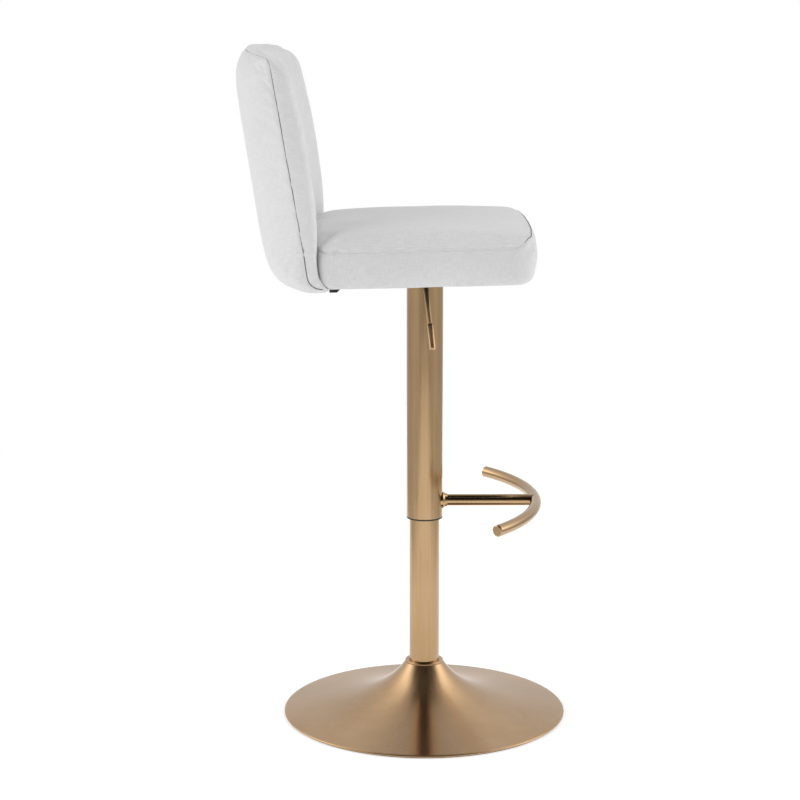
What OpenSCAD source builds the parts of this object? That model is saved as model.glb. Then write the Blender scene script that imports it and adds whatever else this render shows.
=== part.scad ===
// Swivel bar stool with a low curved back, a gas lift and a footrest, standing at the top of its lift.
// Millimetres. +Z is up, +X is the way the sitter faces, and the origin is on the floor on the column's axis.

/* [Base] */
// Diameter of the round base
base_d = 475; // [450:5:500]
// Rise over run of the base's outer skirt
base_slope = 0.17; // [0.16:0.01:0.2]
// Height that the trumpet flare adds at the neck
base_flare = 50; // [48:1:54]
// Distance over which the flare dies away
base_flare_run = 39; // [37:1:42]
// Height of the lip at the rim
rim_h = 4.3; // [4:0.1:6]
// Thickness of the base's sheet metal
base_sheet = 1.5; // [1:0.1:1.8]

/* [Column] */
// Diameter of the fixed stand tube
stand_d = 50; // [48:1:51]
// Diameter of the sliding cover tube
cover_d = 60; // [59:1:64]
// Wall of both tubes
tube_wall = 2; // [1.5:0.1:2.2]
// Height of the stand tube's top
stand_top = 440; // [430:5:470]
// Height of the cover tube's lower end
cover_bottom = 341; // [335:1:350]
// Diameter of the gas cylinder
gas_d = 28; // [27:1:29]
// Travel of the gas lift, downwards from the height drawn
lift = 215; // [180:5:215]

/* [Footrest] */
// Height of the footrest's centreline
rest_z = 368; // [365:1:400]
// Diameter of the footrest's tube
rest_d = 19; // [16:0.5:22]
// How far in front of the column's axis the rail's centreline runs
rail_front = 185; // [160:5:210]
// Radius that the rail is bent to
rail_r = 327; // [300:1:350]
// Half of the angle that the rail spans
rail_half_angle = 38.7; // [30:0.1:42]

/* [Seat] */
// Height of the seat's underside on the column's axis
seat_z = 755; // [750:1:756]
// Backward tilt of the seat in degrees
seat_tilt = 1.3; // [0:0.1:1.5]
// Width of the seat
seat_w = 412; // [400:2:420]
// Distance from the column's axis to the middle of the seat's front
seat_front = 177; // [170:1:190]
// Height of the top seam above the seat's underside, along its front
boxing_h = 75; // [65:1:80]
// Height of the same seam along the sides and the rear, which the padding overhangs
side_seam_h = 58; // [50:1:64]
// Height of the crown above the top seam
crown_h = 20; // [10:1:24]
// Radius of the seat's corners in plan
seat_corner_r = 30; // [20:1:45]

/* [Back] */
// Width of the back
back_w = 406; // [396:2:410]
// Height of the back's top
back_top = 1126; // [1090:1:1150]
// Lean of the back's rear face in degrees
back_lean = 8.8; // [8:0.1:9.2]
// Radius of the back's top corners
back_corner_r = 40; // [25:1:50]
// How far the padded rear panel stands out
rear_puff = 22; // [18:1:24]

/* [Lever] */
// Diameter of the height lever's rod
lever_d = 8; // [7:0.5:8]

/* [Hidden] */
$fn = 96;

// Colours
gold = [0.74, 0.6, 0.42];
linen = [0.84, 0.83, 0.81];
steel = [0.6, 0.6, 0.62];
black = [0.08, 0.08, 0.08];
ply = [0.76, 0.62, 0.44];
foam_tone = [0.93, 0.88, 0.72];

// Shared allowances
over = 1;           // how far a cutting shape passes the face it cuts
slip = 0.05;        // radial clearance of a running fit
fabric_t = 1.5;     // thickness of the upholstery fabric
pad_gap = 0.3;      // gap between the fabric and what it covers
pipe_r = 1.8;       // radius of the piping
bolt_r = 3;         // radius of the seat's bolts
bolt_hole_r = 3.3;  // radius of the holes that they pass
bolt_head_r = 5.5;
bolt_grip = 13;     // how far each bolt reaches above the board's underside

// Heights in the base
ring_h = 1.5;       // rubber floor ring
weight_h = 11;      // both steps of the weight
weight_step = 5;
weight_top = ring_h + weight_h;
flange_h = 5;
neck_r = 32;
neck_ring_h = 3;
end_plate_z = 19;
end_plate_h = 6;

// Thrust bearing at the foot of the piston rod
rod_r = 5;
race_h = 3.2;
race_r = 12;
ball_r = 2.38;
ball_count = 9;
ball_orbit_r = 8.5;
groove_r = 2.45;
lower_race_z = end_plate_z + end_plate_h;
ball_z = lower_race_z + race_h + 2.2;
upper_race_z = ball_z + 2.2;
rod_collar_z = upper_race_z + race_h;
rod_collar_h = 4;
rod_foot = 14.5;
clip_z = 16.5;
clip_h = 2;

// Gas cylinder
gas_r = gas_d / 2;
gas_bore_r = gas_r - 1.5;
gas_z = 290;
gas_top = 736;
gland_h = 16;
piston_z = gas_z + gland_h + 0.5;
piston_h = 14;
rod_top = piston_z + piston_h + 3;
bump_top = gas_z - lift - 1;
valve_z = 700;
pin_r = 3;
pin_z = 712;
pin_top = 742.2;

// Column
stand_r = stand_d / 2;
cover_r = cover_d / 2;
bush_lip_h = 2.5;
bush_h = 40;
guide_h = 60;

// Footrest
rest_r = rest_d / 2;
rest_bore_r = rest_r - 1.5;
rail_x = rail_front - rail_r;
cap_h = 2;

// Seat mechanism
box_floor_z = 735;
box_wall = 2.5;
box_x = [-60, 75];
box_half_y = 45;
plate_h = 2.5;
plate_half = [95, 80];
hub_r = 20;
hub_z = 690;
bolt_at = [75, 60];

// Height lever: one straight runs from its inner end through the pivot to the knee, and another to the tip
lever_r = lever_d / 2;
lever_x = 0;
lever_z = 744.3;
pivot_y = -25;
pivot_r = 2.5;
boss_r = 6;
lever_bend_r = 16;
// The bend is a touch stouter than the straights, and each straight runs a little way into it
bend_swell = 0.1;
bend_lap = 1;
lever_pivot = [lever_x, pivot_y, lever_z];
lever_knee = [lever_x, -92, 737.5];
lever_inner = lever_pivot + 29 / (pivot_y - lever_knee.y) * (lever_pivot - lever_knee);
lever_tip = [9.5, -150, 651];
sleeve_r = 5;
sleeve_l = 42;
sleeve_end = 1.5;   // thickness of the sleeve's closed end

// Seat
board_h = 12;
dust_h = 0.8;
board_top = dust_h + board_h;
seat_bow_r = 2100;
seat_rear_r = 432;
back_axis_x = 225;  // upright axis that the back and the seat's rear curve round
seat_mid_x = (seat_front + back_axis_x - seat_rear_r) / 2;
plan_steps = 12;

// Back: every layer is a ring round one upright axis, cut to the back's front view
seam_line_x = -240;
seam_line_z = 810;
seam_foot_z = 771.5;
seam_foot_r = 20;
seam_foot_s = -18;
seam_top_z = 1116;
lumbar = [-214.5, 850];
front_curve_r = 660;
roll_z = 1051;
roll_back = 14;
back_bottom = 747;
rear_axis_x = 88;
board_bottom_z = 784;
board_top_z = 1085;
board_depth = 3;
board_t = 10;

// Brackets that join the back to the seat
bracket_y = [133, 166];
bracket_t = 2.5;
gusset_t = 5;
gusset_depth = 6;
gusset_x = [-153, -135];
leg_x = [-223, -219.5];
leg_top_z = 830;
bracket_bolt_x = [-145, -115];
bracket_bolt_y = 149;
screw_y = 149;
screw_z = [798, 820];

// ---------- general helpers ----------

// Upright tube from z0 to z1
module tube(r, bore, z0, z1)
    difference() {
        translate([0, 0, z0]) cylinder(r = r, h = z1 - z0);
        translate([0, 0, z0 - over]) cylinder(r = bore, h = z1 - z0 + 2 * over);
    }

// Moves its children from the seat's own frame, where Z = 0 is the underside, to the stool's
module in_seat() translate([0, 0, seat_z]) rotate([0, -seat_tilt, 0]) children();

// Moves its children, drawn along +Z from the origin, to run from a to b
module from_to(a, b) {
    d = b - a;
    translate(a) rotate([0, acos(d.z / norm(d)), atan2(d.y, d.x)]) children();
}

// Hexagon bolt with its head below Z = 0 and its shank above
module hex_bolt(head_r, head_h, shank_r, shank_h) {
    translate([0, 0, -head_h]) cylinder(r = head_r, h = head_h, $fn = 6);
    cylinder(r = shank_r, h = shank_h);
}

// Cord of six sides swept along a line of points, closed or with two ends.
// up is a direction that the line never runs in.
function unit(v) = v / norm(v);
function cord_ring(line, i, r, up, closed) =
    let (n = len(line), before = closed ? (i + n - 1) % n : max(i - 1, 0),
        after = closed ? (i + 1) % n : min(i + 1, n - 1),
        t = unit(line[after] - line[before]), a = unit(cross(up, t)), b = cross(t, a))
    [for (k = [0:5]) line[i] + r * (cos(60 * k) * a + sin(60 * k) * b)];
module cord(line, r, up, closed) {
    n = len(line);
    points = [for (i = [0:n - 1]) each cord_ring(line, i, r, up, closed)];
    sides = [for (i = [0:closed ? n - 1 : n - 2]) let (j = (i + 1) % n) for (k = [0:5]) let (m = (k + 1) % 6)
        [6 * i + k, 6 * j + k, 6 * j + m, 6 * i + m]];
    ends = closed ? [] : [[for (k = [0:5]) k], [for (k = [5:-1:0]) 6 * (n - 1) + k]];
    polyhedron(points, concat(sides, ends), convexity = 4);
}

// ---------- base ----------

// Height of the base's outer skin at radius r, and its steepness there
function flare(r) = base_flare * exp((neck_r - 1 - r) / base_flare_run);
function skin_z(r) = rim_h + base_slope * (base_d / 2 - r) + flare(r);
function skin_slope(r) = base_slope + flare(r) / base_flare_run;
function skin_r(i, n) = neck_r + (base_d / 2 - neck_r) * pow(i / n, 1.5);

module base_shell() {
    steps = 26;
    outer = [for (i = [0:steps]) let (r = skin_r(i, steps)) [r, skin_z(r)]];
    inner = [for (i = [steps:-1:0]) let (r = skin_r(i, steps) - (i == steps ? 12 : 0))
        [r, skin_z(r) - base_sheet * sqrt(1 + pow(skin_slope(r), 2))]];
    lip = [[base_d / 2, ring_h], [base_d / 2 - 14, ring_h], [base_d / 2 - 14, ring_h + base_sheet]];
    color(gold) rotate_extrude() polygon(concat(outer, lip, inner));
}

module base_weight() {
    color(steel) difference() {
        union() {
            translate([0, 0, ring_h]) cylinder(r = base_d / 2 - 42, h = weight_step);
            translate([0, 0, ring_h]) cylinder(r = base_d / 2 - 97, h = weight_h);
        }
        translate([0, 0, ring_h - over]) cylinder(r = 14, h = weight_h + 2 * over);
        flange_bolt_places() translate([0, 0, weight_top - 8]) cylinder(r = 4, h = 8 + over);
    }
}

module floor_ring() {
    color(black) tube(base_d / 2 - 3, base_d / 2 - 52, 0, ring_h);
}

module flange_bolt_places() for (a = [45:90:315]) rotate([0, 0, a]) translate([40, 0, 0]) children();

module tube_flange() {
    color(steel) difference() {
        tube(55, stand_r, weight_top, weight_top + flange_h);
        flange_bolt_places() translate([0, 0, weight_top - over]) cylinder(r = 4, h = flange_h + 2 * over);
    }
}

module flange_bolts() {
    color(steel) flange_bolt_places() {
        translate([0, 0, weight_top - 7.5]) cylinder(r = 4, h = flange_h + 7.5);
        translate([0, 0, weight_top + flange_h]) cylinder(r = 7.5, h = 5, $fn = 6);
    }
}

module stand_tube() {
    color(gold) tube(stand_r, stand_r - tube_wall, weight_top, stand_top);
}

module tube_end_plate() {
    color(steel) {
        tube(stand_r - tube_wall, rod_r + slip, end_plate_z, end_plate_z + end_plate_h);
        tube(race_r + 3, race_r, end_plate_z + end_plate_h - 1, end_plate_z + end_plate_h + 2);
    }
}

// Trim ring that closes the neck round the stand tube
module neck_ring() {
    mid_r = (neck_r + stand_r) / 2;
    z0 = skin_z(neck_r);
    bead_r = 1.4;
    color(gold) rotate_extrude() difference() {
        translate([mid_r, z0 + neck_ring_h / 2]) square([neck_r - stand_r, neck_ring_h], center = true);
        translate([neck_r - bead_r, z0 + neck_ring_h - bead_r]) difference() {
            square(bead_r + over);
            circle(r = bead_r);
        }
    }
}

module guide_bush() {
    color(black) {
        tube(stand_r - tube_wall, gas_r + slip, stand_top - guide_h, stand_top);
        tube(stand_r, gas_r + slip, stand_top, stand_top + 3);
    }
}

// ---------- swivel bearing and piston ----------

module race(z0, bore) {
    color(steel) difference() {
        tube(race_r, bore, z0, z0 + race_h);
        translate([0, 0, ball_z]) rotate_extrude()
            translate([ball_orbit_r, 0]) circle(r = groove_r, $fn = 48);
    }
}

module lower_race() race(lower_race_z, rod_r + 0.4);

module upper_race() race(upper_race_z, rod_r);

module ball_places() for (i = [1:ball_count])
    rotate([0, 0, i * 360 / ball_count]) translate([ball_orbit_r, 0, ball_z]) children();

module bearing_balls() {
    color(steel) ball_places() sphere(r = ball_r, $fn = 32);
}

module ball_cage() {
    color("goldenrod") difference() {
        tube(ball_orbit_r + 3, ball_orbit_r - 3, ball_z - 0.8, ball_z + 0.8);
        ball_places() cylinder(r = groove_r, h = 4, center = true, $fn = 48);
    }
}

module piston_rod() {
    color(steel) difference() {
        union() {
            translate([0, 0, rod_foot]) cylinder(r = rod_r, h = rod_top - rod_foot);
            translate([0, 0, rod_collar_z]) cylinder(r = 8, h = rod_collar_h);
        }
        tube(rod_r + over, rod_r - 0.8, clip_z, clip_z + clip_h);
    }
}

module rod_clip() {
    color(steel) difference() {
        tube(8, rod_r - 0.8, clip_z, clip_z + clip_h);
        translate([0, -2.5, clip_z - over]) cube([10, 5, clip_h + 2 * over]);
    }
}

module bump_stop() {
    color(black) tube(11, rod_r, rod_collar_z + rod_collar_h, bump_top);
}

module piston() {
    color(black) tube(gas_bore_r - slip, rod_r, piston_z, piston_z + piston_h);
}

// ---------- gas cylinder and column ----------

module gas_cylinder() {
    color(black) tube(gas_r, gas_bore_r, gas_z, gas_top);
}

module cylinder_gland() {
    color(steel) tube(gas_bore_r, rod_r + slip, gas_z, gas_z + gland_h);
}

module valve_body() {
    color(steel) difference() {
        translate([0, 0, valve_z]) cylinder(r = gas_bore_r, h = gas_top - valve_z);
        translate([0, 0, valve_z + 6]) cylinder(r = pin_r + slip, h = gas_top - valve_z);
    }
}

module valve_pin() {
    color("firebrick") translate([0, 0, pin_z]) cylinder(r = pin_r, h = pin_top - pin_z);
}

module cover_tube() {
    color(gold) tube(cover_r, cover_r - tube_wall, cover_bottom, box_floor_z);
}

// Plastic bush in the cover tube's lower end, with a lip that shows below it
module slide_bush() {
    color(black) {
        tube(cover_r, stand_r + slip, cover_bottom - bush_lip_h, cover_bottom);
        tube(cover_r - tube_wall, stand_r + slip, cover_bottom, cover_bottom + bush_h);
    }
}

// ---------- footrest ----------

module column_cut() translate([0, 0, rest_z - 50]) cylinder(r = cover_r, h = 100);

module foot_bar() {
    color(gold) difference() {
        translate([0, 0, rest_z]) rotate([0, 90, 0]) difference() {
            cylinder(r = rest_r, h = rail_front);
            translate([0, 0, -over]) cylinder(r = rest_bore_r, h = rail_front + 2 * over);
        }
        column_cut();
        translate([rail_front, 0, rest_z]) rotate([90, 0, 0])
            cylinder(r = rest_r + pad_gap, h = 3 * rest_r, center = true);
    }
}

// Flared collar where the bar meets the column
module foot_collar() {
    flare_end = cover_r + 8;
    color(gold) difference() {
        translate([0, 0, rest_z]) rotate([0, 90, 0]) rotate_extrude() polygon([
            [rest_r, cover_r - 6], [rest_r + 5, cover_r - 6], [rest_r + 4.5, cover_r + 1],
            [rest_r + 2.2, cover_r + 4], [rest_r + 1, flare_end], [rest_r, flare_end]]);
        column_cut();
    }
}

module foot_rail() {
    color(gold) translate([rail_x, 0, rest_z]) rotate([0, 0, -rail_half_angle])
        rotate_extrude(angle = 2 * rail_half_angle) translate([rail_r, 0]) difference() {
            circle(r = rest_r);
            circle(r = rest_bore_r);
        }
}

// Disc and plug in each end of the rail
module rail_end_caps() {
    color(gold) for (side = [-1, 1]) translate([rail_x, 0, rest_z]) rotate([0, 0, side * rail_half_angle])
        translate([rail_r, 0, 0]) rotate([-90 * side, 0, 0]) {
            cylinder(r = rest_r, h = cap_h);
            translate([0, 0, cap_h]) cylinder(r1 = rest_r, r2 = rest_r - 2, h = 0.8);
            translate([0, 0, -6]) cylinder(r = rest_bore_r - 0.4, h = 6 + 0.5);
        }
}

// ---------- seat mechanism and height lever ----------

module column_hub() {
    color(black) tube(hub_r, gas_r, hub_z, gas_top);
}

module seat_bolt_places() for (x = [-1, 1]) for (y = [-1, 1])
    translate([x * bolt_at.x, y * bolt_at.y, 0]) children();

// Everything above the underside of the plate, which tilts with the seat
module above_plate() in_seat() translate([-300, -300, -plate_h + 1]) cube([600, 600, 100]);

module seat_plate() {
    depth = seat_z - box_floor_z + 10;
    color(black) difference() {
        union() {
            in_seat() difference() {
                translate([-plate_half.x, -plate_half.y, -plate_h])
                    cube([2 * plate_half.x, 2 * plate_half.y, plate_h]);
                seat_bolt_places() translate([0, 0, -plate_h - over])
                    cylinder(r = bolt_hole_r, h = plate_h + 2 * over);
            }
            difference() {
                translate([box_x[0], -box_half_y, box_floor_z])
                    cube([box_x[1] - box_x[0], 2 * box_half_y, depth]);
                translate([box_x[0] + box_wall, -box_half_y + box_wall, box_floor_z + box_wall])
                    cube([box_x[1] - box_x[0] - 2 * box_wall, 2 * (box_half_y - box_wall), depth]);
                above_plate();
            }
            pivot_ears();
        }
        translate([0, 0, box_floor_z - over]) cylinder(r = hub_r, h = box_wall + 2 * over);
        translate([lever_x - lever_r - 2, -box_half_y - over, box_floor_z + box_wall])
            cube([2 * lever_r + 4, box_wall + 2 * over, 14]);
    }
}

module pivot_ears() difference() {
    for (x = [lever_x - 10, lever_x + 7.5]) translate([x, pivot_y - 6, lever_z - 6]) cube([2.5, 12, 20]);
    above_plate();
    translate([lever_x - 12, pivot_y, lever_z]) rotate([0, 90, 0]) cylinder(r = pivot_r, h = 24);
}

module lever_pin() {
    color(steel) translate([lever_x, pivot_y, lever_z]) rotate([0, 90, 0]) {
        cylinder(r = pivot_r, h = 23, center = true);
        translate([0, 0, 10]) cylinder(r = 4, h = 1.5);
    }
}

// Solid rod of radius r from a to b
module rod(a, b, r) from_to(a, b) cylinder(r = r, h = norm(b - a));

// The lever's bend, an arc of radius lever_bend_r that both straights meet
lever_in = unit(lever_pivot - lever_knee);
lever_out = unit(lever_tip - lever_knee);
lever_turn = 180 - acos(lever_in * lever_out);
bend_set_back = lever_bend_r * tan(lever_turn / 2);
bend_start = lever_knee + bend_set_back * lever_in;
bend_end = lever_knee + bend_set_back * lever_out;
bend_centre = lever_knee + unit(lever_in + lever_out) * lever_bend_r / cos(lever_turn / 2);
bend_x = unit(bend_start - bend_centre);
bend_z = unit(cross(bend_x, bend_end - bend_centre));
bend_y = cross(bend_z, bend_x);

module lever_bend() multmatrix([
        [bend_x.x, bend_y.x, bend_z.x, bend_centre.x],
        [bend_x.y, bend_y.y, bend_z.y, bend_centre.y],
        [bend_x.z, bend_y.z, bend_z.z, bend_centre.z]])
    rotate_extrude(angle = lever_turn) translate([lever_bend_r, 0]) circle(r = lever_r + bend_swell);

module release_lever() {
    color(gold) difference() {
        union() {
            rod(lever_inner, bend_start - bend_lap * lever_in, lever_r);
            lever_bend();
            rod(bend_end - bend_lap * lever_out, lever_tip, lever_r);
            translate(lever_pivot) rotate([0, 90, 0]) cylinder(r = boss_r, h = 12, center = true);
        }
        translate(lever_pivot) rotate([0, 90, 0]) cylinder(r = pivot_r + slip, h = 40, center = true);
        lever_sleeve_bore();
    }
}

// Space at the rod's end that the sleeve's closed tip fills
module lever_sleeve_bore() from_to(lever_tip, lever_knee) translate([0, 0, -over])
    cylinder(r = sleeve_r, h = over + sleeve_end);

module lever_sleeve() {
    color(gold) from_to(lever_tip, lever_knee) difference() {
        union() {
            cylinder(r = sleeve_r, h = sleeve_l);
            translate([0, 0, -sleeve_end]) cylinder(r1 = sleeve_r - 1.5, r2 = sleeve_r, h = sleeve_end);
        }
        translate([0, 0, sleeve_end]) cylinder(r = lever_r, h = sleeve_l);
    }
}

// ---------- seat ----------

// Plan of the seat, drawn in by inset: a bowed front, straight sides and a rear that follows the back
function corner_in(y, w, r) = let (past = max(0, abs(y) - (w - r))) r - sqrt(max(0, r * r - past * past));
function seat_front_x(y, inset) = seat_front - inset - y * y / (2 * seat_bow_r);
function seat_rear_x(y, inset) = back_axis_x - sqrt(pow(seat_rear_r - inset, 2) - y * y);
function plan_y(i, w) = w * sin(90 * i / plan_steps);
function seat_plan(inset) =
    let (w = seat_w / 2 - inset, r = seat_corner_r - inset)
    concat(
        [for (i = [-plan_steps:plan_steps]) let (y = plan_y(i, w))
            [seat_front_x(y, inset) - corner_in(y, w, r), y]],
        [for (i = [plan_steps:-1:-plan_steps]) let (y = plan_y(i, w))
            [seat_rear_x(y, inset) + corner_in(y, w, r), y]]);

// Solid of the seat from Z = low up to its crown, drawn in by inset all round
module seat_block(inset, low) {
    top = boxing_h + crown_h - inset;
    half_x = (seat_front + seat_rear_r - back_axis_x) / 2;
    arc_x = (half_x * half_x + crown_h * crown_h) / (2 * crown_h);
    arc_y = (seat_w * seat_w / 4 + crown_h * crown_h) / (2 * crown_h);
    intersection() {
        translate([0, 0, low]) linear_extrude(height = top - low) polygon(seat_plan(inset));
        translate([seat_mid_x, 0, top - arc_x]) rotate([90, 0, 0])
            cylinder(r = arc_x, h = seat_w + 20, center = true, $fn = 360);
        translate([0, 0, top - arc_y]) rotate([0, 90, 0])
            cylinder(r = arc_y, h = seat_w + 40, center = true, $fn = 360);
    }
}

// Places of every bolt through the seat board, in the seat's frame
module board_bolt_places() {
    seat_bolt_places() children();
    bracket_bolt_places() children();
}

module bracket_bolt_places() for (x = bracket_bolt_x) for (y = [-1, 1])
    translate([x, y * bracket_bolt_y, 0]) children();

module seat_bolts() {
    color(steel) in_seat() seat_bolt_places() translate([0, 0, -plate_h])
        hex_bolt(bolt_head_r, 4, bolt_r, plate_h + bolt_grip);
}

module tee_nut() difference() {
    union() {
        translate([0, 0, dust_h + 3]) cylinder(r = 4.2, h = board_h - 3);
        translate([0, 0, board_top]) cylinder(r = 9, h = 1.2);
    }
    cylinder(r = bolt_r, h = 30);
}

module tee_nuts() {
    color(steel) in_seat() seat_bolt_places() tee_nut();
}

module bracket_nuts() {
    color(steel) in_seat() bracket_bolt_places() tee_nut();
}

module bracket_bolts() {
    color(steel) in_seat() bracket_bolt_places() translate([0, 0, -bracket_t])
        hex_bolt(bolt_head_r, 2.2, bolt_r, bracket_t + bolt_grip);
}

module seat_board() {
    color(ply) in_seat() difference() {
        translate([0, 0, dust_h]) linear_extrude(height = board_h) polygon(seat_plan(fabric_t + 0.5));
        board_bolt_places() {
            cylinder(r = bolt_hole_r, h = 8);
            translate([0, 0, dust_h + 3]) cylinder(r = 4.2, h = board_h);
        }
    }
}

module seat_foam() {
    color(foam_tone) in_seat() difference() {
        seat_block(fabric_t + pad_gap, board_top);
        board_bolt_places() translate([0, 0, board_top - over]) cylinder(r = 9.5, h = over + 3);
    }
}

module seat_cover() {
    color(linen) in_seat() difference() {
        seat_block(0, 0);
        seat_block(fabric_t, -over);
    }
}

// Height of the top seam at x, rising round the front corners
function seam_h(x) = let (t = min(1, max(0, (x - seat_front + 45) / 32)))
    side_seam_h + (boxing_h - side_seam_h) * t * t * (3 - 2 * t);

module seat_piping() {
    plan = seat_plan(-pipe_r - 0.2);
    line = [for (i = [0:len(plan) - 1]) if (norm(plan[i] - plan[(i + 1) % len(plan)]) > 0.5)
        [plan[i].x, plan[i].y, seam_h(plan[i].x)]];
    color(linen) in_seat() cord(line, pipe_r, [0, 0, 1], true);
}

module dust_cover() {
    color(black) in_seat() difference() {
        linear_extrude(height = dust_h) polygon(seat_plan(fabric_t + 0.5));
        board_bolt_places() translate([0, 0, -over]) cylinder(r = bolt_hole_r, h = 3);
    }
}

// ---------- back ----------

// Rear seam in the middle plane, as a function of the length s along it: an arc below s = 0, a straight above
function seam_x(z) = seam_line_x - (z - seam_line_z) * tan(back_lean);
seam_centre = [seam_x(seam_foot_z), seam_foot_z] + seam_foot_r * [cos(back_lean), sin(back_lean)];
seam_length = (seam_top_z - seam_foot_z) / cos(back_lean);
function seam_angle(s) = 180 + back_lean + max(0, -s) / seam_foot_r * 180 / PI;
function seam_out(s) = [cos(seam_angle(s)), sin(seam_angle(s))];
function seam_point(s, out) =
    seam_centre + (seam_foot_r + out) * seam_out(s) + max(0, s) * [-sin(back_lean), cos(back_lean)];

// Front face and rolled top in the middle plane, drawn in by inset
function front_x(z, inset) =
    lumbar.x - inset - front_curve_r + sqrt(pow(front_curve_r, 2) - pow(z - lumbar[1], 2));
roll_centre_x = seam_x(seam_top_z) + roll_back;
function roll(a0, a1, n, rx, rz, inset) = [for (i = [0:n]) let (a = a0 + (a1 - a0) * i / n)
    [roll_centre_x + (rx - inset) * cos(a), roll_z + (rz - inset) * sin(a)]];
function top_back(n, inset) = [for (i = [1:n]) let (a = 90 + 90 * i / n)
    [roll_centre_x + roll_back * cos(a), seam_top_z + (back_top - seam_top_z - inset) * sin(a)]];

// Side outline of the back in the middle plane. Its rear is moved out by rear.
function back_profile(inset, rear) =
    let (low = seam_point(seam_foot_s, 0).y, foot_s = seam_foot_s + 2.5 * inset)
    concat(
        [for (i = [0:8]) let (z = low + inset + (roll_z - low - inset) * i / 8) [front_x(z, inset), z]],
        roll(15, 90, 5, front_x(roll_z, 0) - roll_centre_x, back_top - roll_z, inset),
        top_back(3, inset),
        [seam_point(seam_length, rear)],
        [for (i = [0:4]) seam_point(foot_s * i / 4, rear > 0 ? rear : -inset / 3)]);

// Ring round an upright axis at X = axis from an outline in the middle plane
module ring_round(axis, outline) translate([axis, 0, 0]) rotate_extrude($fn = 240)
    polygon([for (p = outline) [axis - p.x, p[1]]]);

// Front view of the back, with round top corners, extruded through the back. It is drawn in by inset, and
// its top is lowered by drop.
module back_front_view(inset, drop = 0) {
    w = back_w / 2 - inset;
    r = back_corner_r - inset;
    top = back_top - inset - drop;
    low = back_bottom;
    translate([-400, 0, 0]) rotate([90, 0, 90]) linear_extrude(height = 300) {
        translate([-w, low]) square([2 * w, top - r - low]);
        translate([r - w, top - r - over]) square([2 * (w - r), r + over]);
        for (side = [-1, 1]) translate([side * (w - r), top - r]) circle(r = r);
    }
}

module back_layer(inset, rear) intersection() {
    ring_round(back_axis_x, back_profile(inset, rear));
    back_front_view(inset);
}

module bracket_leg(grow) intersection() {
    ring_round(back_axis_x, [
        [leg_x[0] - grow, back_bottom - grow], [leg_x[1] + grow, back_bottom - grow],
        [leg_x[1] + grow, board_bottom_z],
        [leg_x[1] + grow - (leg_top_z - board_bottom_z) * tan(back_lean), leg_top_z + grow],
        [leg_x[0] - grow - (leg_top_z - board_bottom_z) * tan(back_lean), leg_top_z + grow],
        [leg_x[0] - grow, board_bottom_z]]);
    for (side = [-1, 1]) translate([-250, side * (bracket_y[0] + bracket_y[1]) / 2, 800])
        cube([200, bracket_y[1] - bracket_y[0] + 2 * grow, 200], center = true);
}

module bracket_foot() intersection() {
    in_seat() difference() {
        for (side = [-1, 1]) translate([-200, side > 0 ? bracket_y[0] : -bracket_y[1], -bracket_t])
            cube([100, bracket_y[1] - bracket_y[0], bracket_t]);
        bracket_bolt_places() cylinder(r = bolt_hole_r, h = 20, center = true);
    }
    translate([back_axis_x, 0, 700]) cylinder(r = back_axis_x - leg_x[0], h = 100, $fn = 240);
}

// Short web under the outer edge of each foot, which stiffens it
module bracket_gusset() in_seat() for (side = [-1, 1])
    translate([0, side * (bracket_y[1] - gusset_t / 2) + gusset_t / 2, -bracket_t]) rotate([90, 0, 0])
        linear_extrude(height = gusset_t) polygon([
            [gusset_x[0], 0], [gusset_x[1], 0], [gusset_x[1] - gusset_depth, -gusset_depth],
            [gusset_x[0], -gusset_depth]]);

module screw_places() for (z = screw_z) for (side = [-1, 1]) {
    y = side * screw_y;
    x = leg_x[1] - (z - board_bottom_z) * tan(back_lean);
    r = back_axis_x - x;
    turn = asin(y / r);
    translate([back_axis_x - r * cos(turn), y, z]) rotate([0, -90 + back_lean, -turn]) children();
}

module back_brackets() {
    color(black) {
        bracket_foot();
        bracket_gusset();
        difference() {
            bracket_leg(0);
            screw_places() cylinder(r = 2, h = 30, center = true);
        }
    }
}

module bracket_screws() {
    color(steel) screw_places() translate([0, 0, 0.2]) cylinder(r = 1.9, h = 12);
}

module back_board() {
    color(ply) difference() {
        intersection() {
            ring_round(back_axis_x, [
                [seam_x(board_bottom_z) + board_depth, board_bottom_z],
                [seam_x(board_bottom_z) + board_depth + board_t - 0.2, board_bottom_z],
                [seam_x(board_top_z) + board_depth + board_t - 0.2, board_top_z],
                [seam_x(board_top_z) + board_depth, board_top_z]]);
            back_front_view(12);
        }
        screw_places() cylinder(r = 2, h = 30, center = true);
    }
}

module back_foam() {
    color(foam_tone) difference() {
        back_layer(fabric_t + pad_gap, 0);
        intersection() {
            ring_round(back_axis_x, [
                [seam_x(board_bottom_z) + board_depth, board_bottom_z],
                [seam_x(board_bottom_z) + board_depth + board_t, board_bottom_z],
                [seam_x(board_top_z) + board_depth + board_t, board_top_z],
                [seam_x(board_top_z) + board_depth, board_top_z]]);
            back_front_view(12);
        }
        bracket_leg(0.3);
        screw_places() translate([0, 0, -1]) cylinder(r = 2.5, h = 14);
    }
}

module back_cover() {
    color(linen) difference() {
        back_layer(0, 0);
        back_layer(fabric_t, 5);
        bracket_leg(0.5);
    }
}

// Everything in front of the rear seam's surface
module seam_front() ring_round(back_axis_x, concat(
    [for (i = [0:3]) seam_point(seam_foot_s * i / 3, 0.3)],
    [[leg_x[0] - 0.6, seam_point(seam_foot_s, 0).y], [leg_x[0] - 0.6, back_bottom - 20]],
    [[-150, back_bottom - 20], [-150, back_top + 20], seam_point(seam_length + 30, 0.3)]));

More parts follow.
